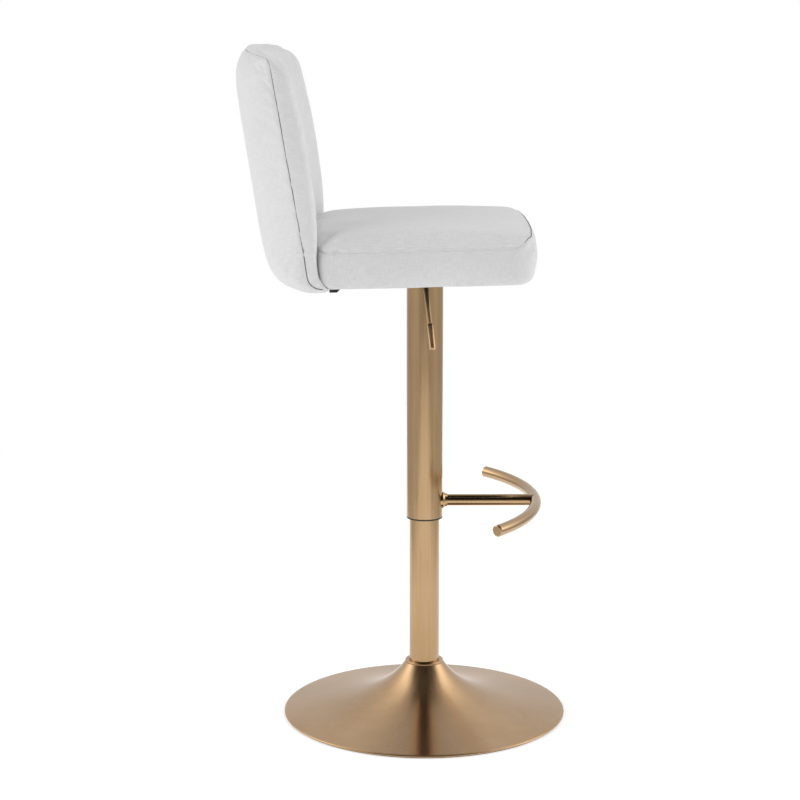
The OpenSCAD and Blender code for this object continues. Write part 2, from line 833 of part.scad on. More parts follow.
module back_rear_panel() {
    top = seam_top_z - 6;
    low = back_bottom + 1;
    rise = 48;
    face = [for (i = [0:6]) let (a = 90 - 15 * i, z = top - rise + rise * sin(a))
        [seam_x(z) - rear_puff * cos(a) - 1, z]];
    heel = [for (i = [0:6]) let (a = 15 * i, z = low + rise - rise * sin(a))
        [seam_x(z) - rear_puff * cos(a) + 14 * (1 - cos(a)), z]];
    color(linen) difference() {
        intersection() {
            ring_round(rear_axis_x,
                concat([[seam_x(top) + 20, top]], face, heel, [[seam_x(low) + 20, low + 12]]));
            back_front_view(5.2, 11.5);
        }
        seam_front();
    }
}

// Points round a corner of the piping's flat path: centre, radius, first angle and number of steps
function corner(c, r, from, n) = [for (i = [0:n]) c + r * [cos(from + 90 * i / n), sin(from + 90 * i / n)]];

// The path goes up one side of the rear face, over its top and down the other side. It is drawn flat, as
// distance across and length along the seam, then bent to the face.
module back_piping() {
    w = back_w / 2 - pipe_r;
    top = seam_length - 3;
    r = back_corner_r;
    heights = concat([for (i = [3:-1:1]) seam_foot_s * i / 3], [for (i = [0:8]) i * (top - r) / 9]);
    flat = concat(
        [for (h = heights) [w, h]],
        corner([w - r, top - r], r, 0, 5),
        [for (i = [6:-1:-6]) [i * 25, top]],
        corner([r - w, top - r], r, 90, 5),
        [for (i = [len(heights) - 1:-1:0]) [-w, heights[i]]]);
    line = [for (p = flat) let (m = seam_point(p[1], pipe_r + 0.35), orbit = back_axis_x - m.x)
        [back_axis_x - sqrt(orbit * orbit - p.x * p.x), p.x, m.y]];
    color(linen) cord(line, pipe_r, [1, 0, 0], false);
}

base_shell();
base_weight();
floor_ring();
tube_flange();
flange_bolts();
stand_tube();
tube_end_plate();
neck_ring();
guide_bush();
lower_race();
piston_rod();
piston();
upper_race();
ball_cage();
bearing_balls();
rod_clip();
bump_stop();
gas_cylinder();
cylinder_gland();
valve_body();
cover_tube();
slide_bush();
foot_collar();
foot_bar();
foot_rail();
rail_end_caps();
column_hub();
seat_plate();
lever_pin();
seat_bolts();
tee_nuts();
seat_board();
seat_foam();
seat_cover();
seat_piping();
dust_cover();
back_brackets();
bracket_bolts();
bracket_nuts();
bracket_screws();
back_board();
back_foam();
back_cover();
back_rear_panel();
back_piping();
release_lever();
lever_sleeve();
valve_pin();
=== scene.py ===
"""Swivel bar stool with a low curved back and a footrest: its looks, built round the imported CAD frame."""

import math

import bpy
import numpy as np
from mathutils import Matrix, Vector, kdtree, noise

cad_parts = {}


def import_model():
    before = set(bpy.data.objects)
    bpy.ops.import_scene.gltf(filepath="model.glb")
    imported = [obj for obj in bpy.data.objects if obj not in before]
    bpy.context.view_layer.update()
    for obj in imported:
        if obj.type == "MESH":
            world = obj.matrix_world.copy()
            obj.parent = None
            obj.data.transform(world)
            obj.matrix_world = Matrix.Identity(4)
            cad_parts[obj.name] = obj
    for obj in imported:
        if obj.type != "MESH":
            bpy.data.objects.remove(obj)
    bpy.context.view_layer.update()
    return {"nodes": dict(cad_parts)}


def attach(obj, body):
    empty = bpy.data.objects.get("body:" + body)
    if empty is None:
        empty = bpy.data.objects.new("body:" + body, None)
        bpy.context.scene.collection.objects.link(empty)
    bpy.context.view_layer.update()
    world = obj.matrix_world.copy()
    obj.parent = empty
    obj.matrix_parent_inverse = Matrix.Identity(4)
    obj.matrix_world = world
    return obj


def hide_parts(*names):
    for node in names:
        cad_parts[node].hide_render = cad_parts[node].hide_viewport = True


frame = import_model()

MM = 0.001
TAU = 2 * math.pi

# ---------------------------------------------------------------- meshes


def add_mesh(name, points, faces, uvs=None, smooth=True):
    """Object from points in millimetres. uvs holds a (u, v) in metres for each corner of each face."""
    mesh = bpy.data.meshes.new(name)
    mesh.from_pydata((np.asarray(points, float) * MM).tolist(), [], [list(map(int, f)) for f in faces])
    if uvs is not None:
        layer = mesh.uv_layers.new(name="cloth")
        layer.data.foreach_set("uv", np.asarray(uvs, np.float32).ravel())
    mesh.polygons.foreach_set("use_smooth", [smooth] * len(mesh.polygons))
    mesh.update()
    obj = bpy.data.objects.new(name, mesh)
    bpy.context.scene.collection.objects.link(obj)
    return obj


def coords(obj):
    co = np.empty(len(obj.data.vertices) * 3, np.float32)
    obj.data.vertices.foreach_get("co", co)
    return co.reshape(-1, 3).astype(float) / MM


def set_coords(obj, points):
    obj.data.vertices.foreach_set("co", (np.asarray(points) * MM).astype(np.float32).ravel())
    obj.data.update()


def normals(obj):
    out = np.empty(len(obj.data.vertices) * 3, np.float32)
    obj.data.vertex_normals.foreach_get("vector", out)
    return out.reshape(-1, 3).astype(float)


def lathe(name, profile, steps):
    """Ring round the Z axis from a closed profile of (radius, z), which runs anticlockwise."""
    n = len(profile)
    angle = np.arange(steps) * TAU / steps
    r, z = np.array(profile).T
    points = np.stack([np.outer(np.cos(angle), r), np.outer(np.sin(angle), r), np.tile(z, (steps, 1))], -1)
    faces = []
    for i in range(steps):
        a, b = i * n, (i + 1) % steps * n
        for k in range(n):
            m = (k + 1) % n
            faces.append((a + k, b + k, b + m, a + m))
    return add_mesh(name, points.reshape(-1, 3), faces)


def fillet(corners, n):
    """Closed outline of (x, y, radius) corners with each corner rounded to its radius."""
    out = []
    count = len(corners)
    for i, (x, y, r) in enumerate(corners):
        here = np.array([x, y], float)
        if r <= 0:
            out.append(tuple(here))
            continue
        before = np.array(corners[i - 1][:2], float) - here
        after = np.array(corners[(i + 1) % count][:2], float) - here
        before /= np.linalg.norm(before)
        after /= np.linalg.norm(after)
        half = math.acos(max(-1, min(1, float(before @ after)))) / 2
        back = r / math.tan(half)
        mid = before + after
        centre = here + mid / np.linalg.norm(mid) * r / math.sin(half)
        a, b = here + before * back - centre, here + after * back - centre
        a0 = math.atan2(a[1], a[0])
        turn = (math.atan2(b[1], b[0]) - a0 + math.pi) % TAU - math.pi
        out += [(centre[0] + r * math.cos(a0 + turn * k / n), centre[1] + r * math.sin(a0 + turn * k / n))
                for k in range(n + 1)]
    return out


def sweep(name, path, radius, sides, closed=False, up=(0, 0, 1), domed=False):
    """Round tube along a path. radius is a number or one for each point. Open ends are flat or domed."""
    path = np.array(path, float)
    n = len(path)
    radius = np.broadcast_to(np.asarray(radius, float), (n,)).copy()
    if closed:
        tangent = np.roll(path, -1, 0) - np.roll(path, 1, 0)
    else:
        tangent = np.gradient(path, axis=0)
    tangent /= np.linalg.norm(tangent, axis=1)[:, None]
    side = np.cross(np.asarray(up, float), tangent)
    side /= np.linalg.norm(side, axis=1)[:, None]
    lift = np.cross(tangent, side)
    if domed:
        steps = np.linspace(80, 20, 4) * math.pi / 180
        head = path[0] - tangent[0] * radius[0] * np.sin(steps)[:, None]
        tail = path[-1] + tangent[-1] * radius[-1] * np.sin(steps[::-1])[:, None]
        path = np.concatenate([head, path, tail])
        radius = np.concatenate([radius[0] * np.cos(steps), radius, radius[-1] * np.cos(steps[::-1])])
        side, lift = (
            np.concatenate([np.tile(d[0], (4, 1)), d, np.tile(d[-1], (4, 1))]) for d in (side, lift))
        n = len(path)
    angle = (np.arange(sides) * TAU / sides)[None, :, None]
    spoke = np.cos(angle) * side[:, None] + np.sin(angle) * lift[:, None]
    points = path[:, None] + radius[:, None, None] * spoke
    faces = []
    for i in range(n if closed else n - 1):
        j = (i + 1) % n
        for k in range(sides):
            m = (k + 1) % sides
            faces.append((i * sides + k, i * sides + m, j * sides + m, j * sides + k))
    if not closed:
        faces.append(tuple(range(sides))[::-1])
        faces.append(tuple((n - 1) * sides + k for k in range(sides)))
    return add_mesh(name, points.reshape(-1, 3), faces)


def resample(path, n, closed=False, ends=0.0):
    """n + 1 points along an open path, or n along a closed one. ends, up to 1, crowds them to both ends."""
    path = np.asarray(path, float)
    if closed:
        path = np.concatenate([path, path[:1]])
    s = np.concatenate([[0], np.cumsum(np.linalg.norm(np.diff(path, axis=0), axis=1))])
    t = np.linspace(0, 1, n + 1)
    t = (t - ends * np.sin(TAU * t) / TAU) * s[-1]
    out = np.stack([np.interp(t, s, path[:, k]) for k in range(path.shape[1])], 1)
    return out[:-1] if closed else out


def spline(points, n=12):
    """Smooth curve through points, n steps between neighbours."""
    p = np.asarray(points, float)
    p = np.concatenate([[2 * p[0] - p[1]], p, [2 * p[-1] - p[-2]]])
    out = []
    for i in range(1, len(p) - 2):
        for t in np.arange(n) / n:
            a, b, c, d = p[i - 1 : i + 3]
            square, cube = 2 * a - 5 * b + 4 * c - d, 3 * b - a - 3 * c + d
            out.append(0.5 * (2 * b + (c - a) * t + square * t**2 + cube * t**3))
    return np.array(out + [p[-2]])


def coons(low, high, left, right):
    """Grid of points filled in from its four edges. low and high run along i, left and right along j."""
    nu, nv = len(low) - 1, len(left) - 1
    u = np.linspace(0, 1, nu + 1)[:, None, None]
    v = np.linspace(0, 1, nv + 1)[None, :, None]
    corner = (1 - u) * (1 - v) * low[0] + u * (1 - v) * low[-1] + (1 - u) * v * high[0] + u * v * high[-1]
    return (1 - v) * low[:, None] + v * high[:, None] + (1 - u) * left[None] + u * right[None] - corner


class Box:
    """Numbering of a closed cushion: a face grid, bands round its edge, and a second grid on the far side."""

    def __init__(self, nu, nv, rows):
        self.nu, self.nv, self.rows = nu, nv, rows
        self.loop = (
            [(i, 0) for i in range(nu)] + [(nu, j) for j in range(nv)]
            + [(i, nv) for i in range(nu, 0, -1)] + [(0, j) for j in range(nv, 0, -1)]
        )
        self.size = (nu + 1) * (nv + 1)
        self.n = len(self.loop)

    def face(self, i, j):
        return i * (self.nv + 1) + j

    def far(self, i, j):
        return self.size + (self.rows - 1) * self.n + self.face(i, j)

    def band(self, row, k):
        k %= self.n
        if row == 0:
            return self.face(*self.loop[k])
        if row == self.rows:
            return self.far(*self.loop[k])
        return self.size + (row - 1) * self.n + k

    def ring(self, grid):
        """Edge of a grid, in the order of the loop."""
        return np.array([grid[i, j] for i, j in self.loop])

    def fill(self, ring):
        """Grid filled in from its edge."""
        i, j = self.nu, self.nv
        low, high = ring[: i + 1], ring[i + j : 2 * i + j + 1][::-1]
        right = ring[i : i + j + 1]
        left = np.concatenate([ring[2 * i + j :], ring[:1]])[::-1]
        return coons(low, high, left, right)

    def build(self, name, top, bands, bottom, top_uv, band_uv, bottom_uv):
        """top and bottom are grids of points, with the rows of bands between them.

        Each uv array matches its points, except that a band row has one more, where it closes.
        """
        points = np.concatenate([top.reshape(-1, 3), *bands, bottom.reshape(-1, 3)])
        faces, uvs = [], []
        for i in range(self.nu):
            for j in range(self.nv):
                quad = [(i, j), (i + 1, j), (i + 1, j + 1), (i, j + 1)]
                faces.append([self.face(*q) for q in quad])
                uvs += [top_uv[q] for q in quad]
                faces.append([self.far(*q) for q in quad[::-1]])
                uvs += [bottom_uv[q] for q in quad[::-1]]
        for r in range(self.rows):
            for k in range(self.n):
                quad = [(r, k), (r + 1, k), (r + 1, k + 1), (r, k + 1)]
                faces.append([self.band(*q) for q in quad])
                uvs += [band_uv[row][at] for row, at in quad]
        return add_mesh(name, points, faces, np.array(uvs) * MM)


def stretch(ids):
    """The ids of one stretch of a ring, in order from its first point to its last."""
    first = next(i for i, k in enumerate(ids) if ids[i - 1] != k - 1)
    return ids[first:] + ids[:first]


def lengths(ring):
    """Distance round a ring to each of its points and back to the first."""
    return np.concatenate([[0], np.cumsum(np.linalg.norm(np.roll(ring, -1, 0) - ring, axis=1))])


def inflate(obj, pins, cap):
    """Cloth simulation under pressure. pins says how firmly each point is held, and none moves past cap."""
    start = coords(obj)
    group = obj.vertex_groups.new(name="held")
    for weight in sorted(set(np.round(pins, 2))):
        if weight > 0:
            group.add([int(i) for i in np.nonzero(np.round(pins, 2) == weight)[0]], float(weight), "REPLACE")
    cloth = obj.modifiers.new("cloth", "CLOTH")
    s = cloth.settings
    s.quality = 5
    s.mass = 0.15
    s.tension_stiffness = s.compression_stiffness = 12
    s.shear_stiffness = 5
    s.bending_stiffness = 0.15
    s.use_pressure = True
    s.uniform_pressure_force = 4.0
    s.shrink_min = -0.02
    s.vertex_group_mass = "held"
    s.effector_weights.gravity = 0
    cloth.collision_settings.use_collision = False
    scene = bpy.context.scene
    for f in range(1, 21):
        scene.frame_set(f)
    done = obj.evaluated_get(bpy.context.evaluated_depsgraph_get())
    co = np.empty(len(done.data.vertices) * 3, np.float32)
    done.data.vertices.foreach_get("co", co)
    move = co.reshape(-1, 3).astype(float) / MM - start
    obj.modifiers.remove(cloth)
    obj.vertex_groups.remove(group)
    scene.frame_set(1)
    far = np.maximum(np.linalg.norm(move, axis=1), 1e-9)
    move *= (cap * np.tanh(far / cap) / far)[:, None]
    set_coords(obj, start + move)
    return float(far.max())


def subdivide(obj):
    mod = obj.modifiers.new("smooth", "SUBSURF")
    mod.levels = mod.render_levels = 1
    mod.boundary_smooth = "PRESERVE_CORNERS"
    dg = bpy.context.evaluated_depsgraph_get()
    dg.update()
    mesh = bpy.data.meshes.new_from_object(obj.evaluated_get(dg))
    obj.modifiers.remove(mod)
    old = obj.data
    obj.data = mesh
    mesh.name = obj.name
    bpy.data.meshes.remove(old)


def pucker(obj, seam, valley, gather, reach, pitch, seed, keep):
    """Presses a valley along a seam, given as points of the mesh, and gathers the cloth beside it.

    valley, gather and keep are numbers or one for each point of the mesh. keep scales the whole effect.
    """
    co, nm = coords(obj), normals(obj)
    depth = np.zeros(len(co))
    valley, gather = np.broadcast_to(valley, len(co)), np.broadcast_to(gather, len(co))
    fine = resample(seam, len(seam) * 3, closed=True)
    run = lengths(fine)
    tree = kdtree.KDTree(len(fine))
    for i, p in enumerate(fine):
        tree.insert(Vector(p), i)
    tree.balance()
    for i, p in enumerate(co):
        _, k, d = tree.find(Vector(p))
        if d > 5 * reach:
            continue
        s = run[k]
        swell = 0.55 + 0.9 * noise.noise(Vector((s / 47, seed, 0)))
        ridge = noise.noise(Vector((s / pitch, d / 30, seed)))
        ridge += 0.5 * noise.noise(Vector((s / pitch * 2.1, d / 20, seed + 11)))
        depth[i] -= valley[i] * math.exp(-((d / 3.2) ** 1.4))
        depth[i] += gather[i] * max(swell, 0.05) * ridge * math.exp(-d / reach) * min(d / 3, 1)
    set_coords(obj, co + nm * (depth * keep)[:, None])


def ripple(obj, amount, scale, seed):
    """Gentle unevenness of stuffed cloth. scale is the size of a swell along X, Y and Z."""
    co, nm = coords(obj), normals(obj)
    sx, sy, sz = scale
    depth = np.array([noise.noise(Vector((p[0] / sx, p[1] / sy, p[2] / sz + seed))) for p in co])
    set_coords(obj, co + nm * (amount * depth)[:, None])


# ---------------------------------------------------------------- materials


class Nodes:
    """Short forms for building a node material."""

    def __init__(self, name, **base):
        self.material = bpy.data.materials.new(name)
        self.material.use_nodes = True
        self.tree = self.material.node_tree
        self.tree.nodes.clear()
        self.out = self.add("ShaderNodeOutputMaterial")
        self.bsdf = self.add("ShaderNodeBsdfPrincipled")
        self.link(self.bsdf.outputs[0], self.out.inputs[0])
        self.set(self.bsdf, **base)

    def add(self, kind, **values):
        node = self.tree.nodes.new(kind)
        for key, value in values.items():
            setattr(node, key, value)
        return node

    def set(self, node, **values):
        for key, value in values.items():
            node.inputs[key.replace("_", " ")].default_value = value

    def link(self, a, b):
        self.tree.links.new(a, b)

    def feed(self, socket, value):
        if isinstance(value, (int, float)):
            socket.default_value = value
        else:
            self.link(value, socket)

    def maths(self, kind, a, b=0.0, c=0.0):
        node = self.add("ShaderNodeMath", operation=kind)
        for socket, value in zip(node.inputs, (a, b, c)):
            self.feed(socket, value)
        return node.outputs[0]

    def coordinates(self, scale=(1, 1, 1)):
        source = self.add("ShaderNodeTexCoord")
        mapping = self.add("ShaderNodeMapping")
        self.link(source.outputs["Object"], mapping.inputs["Vector"])
        mapping.inputs["Scale"].default_value = scale
        return mapping.outputs[0]

    def noise(self, vector, scale, detail=2.0, rough=0.5):
        node = self.add("ShaderNodeTexNoise")
        self.link(vector, node.inputs["Vector"])
        self.set(node, Scale=scale, Detail=detail, Roughness=rough)
        return node.outputs["Fac"]

    def ramp(self, fac, *stops):
        node = self.add("ShaderNodeValToRGB")
        while len(node.color_ramp.elements) < len(stops):
            node.color_ramp.elements.new(0.5)
        for element, (at, colour) in zip(node.color_ramp.elements, stops):
            element.position = at
            element.color = (*colour, 1)
        self.link(fac, node.inputs[0])
        return node.outputs[0]

    def spread(self, fac, low, high, a, b):
        """Maps fac from the range a to b onto the range low to high."""
        node = self.add("ShaderNodeMapRange")
        self.link(fac, node.inputs["Value"])
        for key, value in (("From Min", a), ("From Max", b), ("To Min", low), ("To Max", high)):
            node.inputs[key].default_value = value
        return node.outputs[0]

    def mix(self, fac, a, b):
        node = self.add("ShaderNodeMix", data_type="RGBA")
        self.feed(node.inputs[0], fac)
        for socket, value in ((node.inputs[6], a), (node.inputs[7], b)):
            if hasattr(value, "__len__"):
                socket.default_value = (*value, 1)
            else:
                self.link(value, socket)
        return node.outputs[2]

    def bump(self, height, strength, distance):
        node = self.add("ShaderNodeBump")
        self.link(height, node.inputs["Height"])
        self.set(node, Strength=strength, Distance=distance)
        self.link(node.outputs[0], self.bsdf.inputs["Normal"])


def srgb(r, g, b):
    """Linear colour of 8-bit display values."""
    return tuple((c / 255 / 12.92) if c <= 10 else ((c / 255 + 0.055) / 1.055) ** 2.4 for c in (r, g, b))


def linen(name, light, dark, uv=True, thread=0.00105):
    """Plain weave of slubby yarns. With uv, the yarns follow the cut of the cloth."""
    m = Nodes(name, Roughness=0.9)
    m.set(m.bsdf, Sheen_Weight=0.22, Sheen_Roughness=0.5)
    m.bsdf.inputs["Specular IOR Level"].default_value = 0.22
    if uv:
        source = m.add("ShaderNodeUVMap", uv_map="cloth").outputs[0]
    else:
        source = m.coordinates()
    split = m.add("ShaderNodeSeparateXYZ")
    m.link(source, split.inputs[0])
    wander = m.noise(source, 160, 2)
    warp, weft = (m.maths("MULTIPLY_ADD", wander, 0.0006, way) for way in split.outputs[:2])
    a, b = (m.maths("SINE", m.maths("MULTIPLY", way, math.pi / thread)) for way in (warp, weft))
    over = m.maths("MULTIPLY", a, b)
    lattice = m.maths("MULTIPLY", m.maths("ABSOLUTE", a), m.maths("ABSOLUTE", b))
    slubs = []
    for stretches in ((60, 1500), (1500, 60)):
        yarn = m.add("ShaderNodeCombineXYZ")
        for way, scale, socket in zip((warp, weft), stretches, yarn.inputs):
            m.link(m.maths("MULTIPLY", way, scale), socket)
        slubs.append(m.maths("MULTIPLY", m.noise(yarn.outputs[0], 1.0, 1), 0.5))
    slub = m.maths("ADD", *slubs)
    height = m.maths("ADD", m.maths("MULTIPLY_ADD", over, 0.35, lattice), m.maths("MULTIPLY", slub, 0.9))
    tone = m.maths("MULTIPLY_ADD", lattice, 0.35, m.spread(slub, 0.0, 0.75, 0.3, 0.7))
    cloud = m.noise(m.coordinates(), 9, 3)
    tone = m.maths("MULTIPLY_ADD", m.maths("SUBTRACT", cloud, 0.5), 0.35, tone)
    m.link(m.mix(m.maths("MINIMUM", tone, 1.0), dark, light), m.bsdf.inputs["Base Color"])
    m.link(m.spread(slub, 0.84, 0.96, 0.3, 0.7), m.bsdf.inputs["Roughness"])
    m.bump(height, 0.55, 0.00022)
    return m.material


def plated(name, colour, roughness, streak, scale, aniso=0.0, coat=0.12, tone=0.5):
    """Gold-plated steel. Fine lines run along whichever axis has the small scale."""
    m = Nodes(name, Metallic=1.0, Roughness=roughness)
    m.set(m.bsdf, Coat_Weight=coat, Coat_Roughness=0.2, Coat_IOR=1.5)
    m.set(m.bsdf, Anisotropic=aniso, Anisotropic_Rotation=0.25)
    if aniso:
        turned = m.add("ShaderNodeTangent", direction_type="RADIAL", axis="Z")
        m.link(turned.outputs[0], m.bsdf.inputs["Tangent"])
    lines = m.noise(m.coordinates(scale), 14, 4, 0.6)
    cloud = m.noise(m.coordinates(), 11, 3)
    fine = m.noise(m.coordinates(), 900, 2)
    tint = m.maths("MULTIPLY_ADD", m.maths("SUBTRACT", lines, 0.5), tone, cloud)
    warm = tuple(c * k for c, k in zip(colour, (0.94, 0.91, 0.86)))
    pale = tuple(min(1, c * k) for c, k in zip(colour, (1.05, 1.05, 1.06)))
    m.link(m.mix(m.spread(tint, 0, 1, 0.3, 0.7), warm, pale), m.bsdf.inputs["Base Color"])
    rough = m.maths("MULTIPLY_ADD", m.maths("SUBTRACT", lines, 0.5), streak * 2, roughness)
    rough = m.maths("MULTIPLY_ADD", m.maths("SUBTRACT", cloud, 0.5), 0.08, rough)
    m.link(rough, m.bsdf.inputs["Roughness"])
    both = m.maths("MULTIPLY_ADD", fine, 0.35, lines)
    m.bump(both, 0.12, 0.00004)
    return m.material


def steel(name, colour, roughness):
    m = Nodes(name, Metallic=1.0, Roughness=roughness)
    cloud = m.noise(m.coordinates(), 30, 4)
    fine = m.noise(m.coordinates(), 350, 3)
    dull = tuple(c * 0.78 for c in colour)
    m.link(m.mix(m.spread(cloud, 0, 1, 0.3, 0.7), dull, colour), m.bsdf.inputs["Base Color"])
    m.link(m.spread(cloud, roughness - 0.06, roughness + 0.1, 0.3, 0.7), m.bsdf.inputs["Roughness"])
    m.bump(fine, 0.4, 0.00005)
    return m.material


def coated(name, colour, roughness, grain, depth, coat=0.0):
    """Powder coat, moulded plastic or rubber, told apart by grain and roughness."""
    m = Nodes(name, Roughness=roughness)
    m.bsdf.inputs["Coat Weight"].default_value = coat
    m.bsdf.inputs["Coat Roughness"].default_value = 0.35
    cloud = m.noise(m.coordinates(), 24, 4)
    peel = m.noise(m.coordinates(), grain, 2)
    pale = tuple(min(1, c * 1.35 + 0.006) for c in colour)
    m.link(m.mix(m.spread(cloud, 0, 1, 0.35, 0.75), colour, pale), m.bsdf.inputs["Base Color"])
    m.link(m.spread(cloud, roughness - 0.05, roughness + 0.08, 0.3, 0.7), m.bsdf.inputs["Roughness"])
    m.bump(peel, 0.5, depth)
    return m.material


def plywood(name):
    m = Nodes(name, Roughness=0.7)
    grain = m.noise(m.coordinates((14, 160, 160)), 2.2, 5, 0.6)
    rings = m.noise(m.coordinates((3, 30, 30)), 1.6, 3)
    layers = m.add("ShaderNodeTexWave", wave_type="BANDS", bands_direction="Z")
    m.link(m.coordinates(), layers.inputs["Vector"])
    m.set(layers, Scale=65.0, Distortion=0.6)
    tone = m.maths("MULTIPLY_ADD", grain, 0.6, m.maths("MULTIPLY", rings, 0.4))
    wood = m.ramp(tone, (0.3, srgb(150, 112, 70)), (0.52, srgb(196, 158, 110)), (0.7, srgb(219, 186, 140)))
    glue = m.maths("MULTIPLY", layers.outputs["Fac"], 0.18)
    m.link(m.mix(glue, wood, srgb(120, 84, 50)), m.bsdf.inputs["Base Color"])
    m.bump(grain, 0.4, 0.0002)
    return m.material


def dust_cloth(name):
    """Thin black non-woven: matted fibres with a pattern of small pressed dots."""
    m = Nodes(name, Roughness=0.95)
    m.set(m.bsdf, Sheen_Weight=0.15)
    dots = m.add("ShaderNodeTexVoronoi", feature="F1")
    m.link(m.coordinates(), dots.inputs["Vector"])
    m.set(dots, Scale=700.0, Randomness=0.25)
    fibres = m.noise(m.coordinates(), 1500, 4, 0.7)
    pressed = m.spread(dots.outputs["Distance"], 0, 1, 0.15, 0.45)
    black, grey = (0.006, 0.006, 0.006), (0.03, 0.03, 0.031)
    m.link(m.mix(m.maths("MULTIPLY", pressed, fibres), black, grey), m.bsdf.inputs["Base Color"])
    m.bump(m.maths("ADD", pressed, fibres), 0.6, 0.0002)
    return m.material


def foam(name):
    m = Nodes(name, Roughness=0.95)
    cells = m.add("ShaderNodeTexVoronoi", feature="F1")
    m.link(m.coordinates(), cells.inputs["Vector"])
    m.set(cells, Scale=900.0)
    tone = m.noise(m.coordinates(), 12, 3)
    m.link(m.mix(tone, srgb(222, 205, 150), srgb(242, 232, 190)), m.bsdf.inputs["Base Color"])
    m.bump(cells.outputs["Distance"], 0.8, 0.0006)
    return m.material


GOLD = (0.5, 0.337, 0.184)
mats = {
    "linen": linen("linen", srgb(241, 241, 241), srgb(214, 214, 214)),
    # The seam cord's dark grey is painted shade: it stands in for the shadow in the seams' grooves, not the
    # colour of a thread
    "thread": coated("seam_shadow_paint", (0.12, 0.12, 0.12), 0.9, 1500, 0.00003),
    "welt": linen("linen_welt", srgb(235, 235, 235), srgb(219, 219, 219), uv=False, thread=0.0009),
    "base_gold": plated("base_gold", (0.53, 0.343, 0.185), 0.29, 0.02, (4, 4, 4), aniso=0.93, coat=0.4),
    "tube_gold": plated("tube_gold", GOLD, 0.21, 0.05, (22, 22, 0.35), tone=1.6),
    "rail_gold": plated("rail_gold", GOLD, 0.13, 0.03, (30, 2, 30)),
    "lever_gold": plated("lever_gold", srgb(214, 178, 134), 0.34, 0.02, (30, 30, 2)),
    "weight": coated("weight", (0.035, 0.035, 0.038), 0.75, 250, 0.0004),
    "rubber": coated("rubber", (0.012, 0.012, 0.012), 0.85, 500, 0.0001),
    "steel": steel("zinc_steel", (0.56, 0.56, 0.57), 0.36),
    "plastic": coated("plastic", (0.016, 0.014, 0.012), 0.42, 1400, 0.00003),
    "black_steel": coated("black_steel", (0.013, 0.013, 0.014), 0.45, 700, 0.00012, 0.2),
    "red": coated("valve_red", (0.42, 0.02, 0.015), 0.4, 1200, 0.00003),
    "plywood": plywood("plywood"),
    "foam": foam("foam"),
    "dust": dust_cloth("dust_cloth"),
    "brass": steel("cage_brass", (0.62, 0.46, 0.2), 0.4),
}


def wear(obj, key):
    obj.data.materials.clear()
    obj.data.materials.append(mats[key])


CAD_FINISH = {
    "steel": "tube_flange flange_bolts tube_end_plate lower_race piston_rod upper_race bearing_balls "
    "rod_clip cylinder_gland valve_body lever_pin seat_bolts tee_nuts bracket_bolts bracket_nuts "
    "bracket_screws",
    "weight": "base_weight",
    "rubber": "floor_ring bump_stop",
    "tube_gold": "stand_tube cover_tube",
    "rail_gold": "foot_bar foot_rail rail_end_caps foot_collar",
    "base_gold": "base_shell neck_ring",
    "lever_gold": "release_lever lever_sleeve",
    "plastic": "guide_bush slide_bush piston",
    "black_steel": "gas_cylinder column_hub seat_plate back_brackets",
    "brass": "ball_cage",
    "red": "valve_pin",
    "plywood": "seat_board back_board",
    "foam": "seat_foam back_foam",
    "linen": "seat_cover seat_piping back_cover back_rear_panel back_piping",
    "dust": "dust_cover",
}
for key, names in CAD_FINISH.items():
    for node in names.split():
        wear(frame["nodes"][node], key)

# ---------------------------------------------------------------- base

BASE_R, NECK_R, TUBE_R = 237.5, 32.0, 25.02
SLOPE, FLARE, FLARE_R, FLARE_RUN = 0.17, 50, 31, 39
SHEET = 1.5
RIM_H, RIM_FOOT, RIM_T = 4.3, 1.5, 14


def skin(r):
    """Height of the base's upper surface at radius r."""
    return RIM_H + SLOPE * (BASE_R - r) + FLARE * math.exp((FLARE_R - r) / FLARE_RUN)


def lining(r):
    """Height of its lower surface, a sheet's thickness away."""
    steepness = SLOPE + FLARE / FLARE_RUN * math.exp((FLARE_R - r) / FLARE_RUN)
    return skin(r) - SHEET * math.sqrt(1 + steepness**2)


outer = [(r, skin(r)) for r in NECK_R + (BASE_R - 1.6 - NECK_R) * np.linspace(0, 1, 90) ** 1.4]
lip = ((0.7, RIM_H), (0.1, 3.7), (0, 3.0), (0.1, 2.2), (0.7, 1.6), (1.6, RIM_FOOT))
rim = [(BASE_R - back, z) for back, z in lip]
inner = [(r, lining(r)) for r in np.linspace(BASE_R - RIM_T + 1, NECK_R, 60)]
profile = outer + rim + [(BASE_R - RIM_T, RIM_FOOT), (BASE_R - RIM_T, 2 * SHEET)] + inner
base = lathe("base_dish", profile[::-1], 256)
wear(base, "base_gold")
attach(base, "base")
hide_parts("base_shell")

foot, head = skin(NECK_R), skin(NECK_R) + 3
ring_profile = fillet([(TUBE_R, foot, 0), (NECK_R, foot, 0.3), (NECK_R, head, 1.4), (TUBE_R, head, 0.5)], 8)
ring = lathe("base_neck_ring", ring_profile, 160)
wear(ring, "base_gold")
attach(ring, "base")
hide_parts("neck_ring")

# ---------------------------------------------------------------- lever

PIVOT, KNEE, TIP = np.array([0, -25, 744.3]), np.array([0, -92, 737.5]), np.array([9.5, -150, 651.0])
BEND_R, BEND_STEPS = 16, 14
INNER_REACH = 29 / 67
CAP_T = 1.5


def unit(v):
    return v / np.linalg.norm(v)


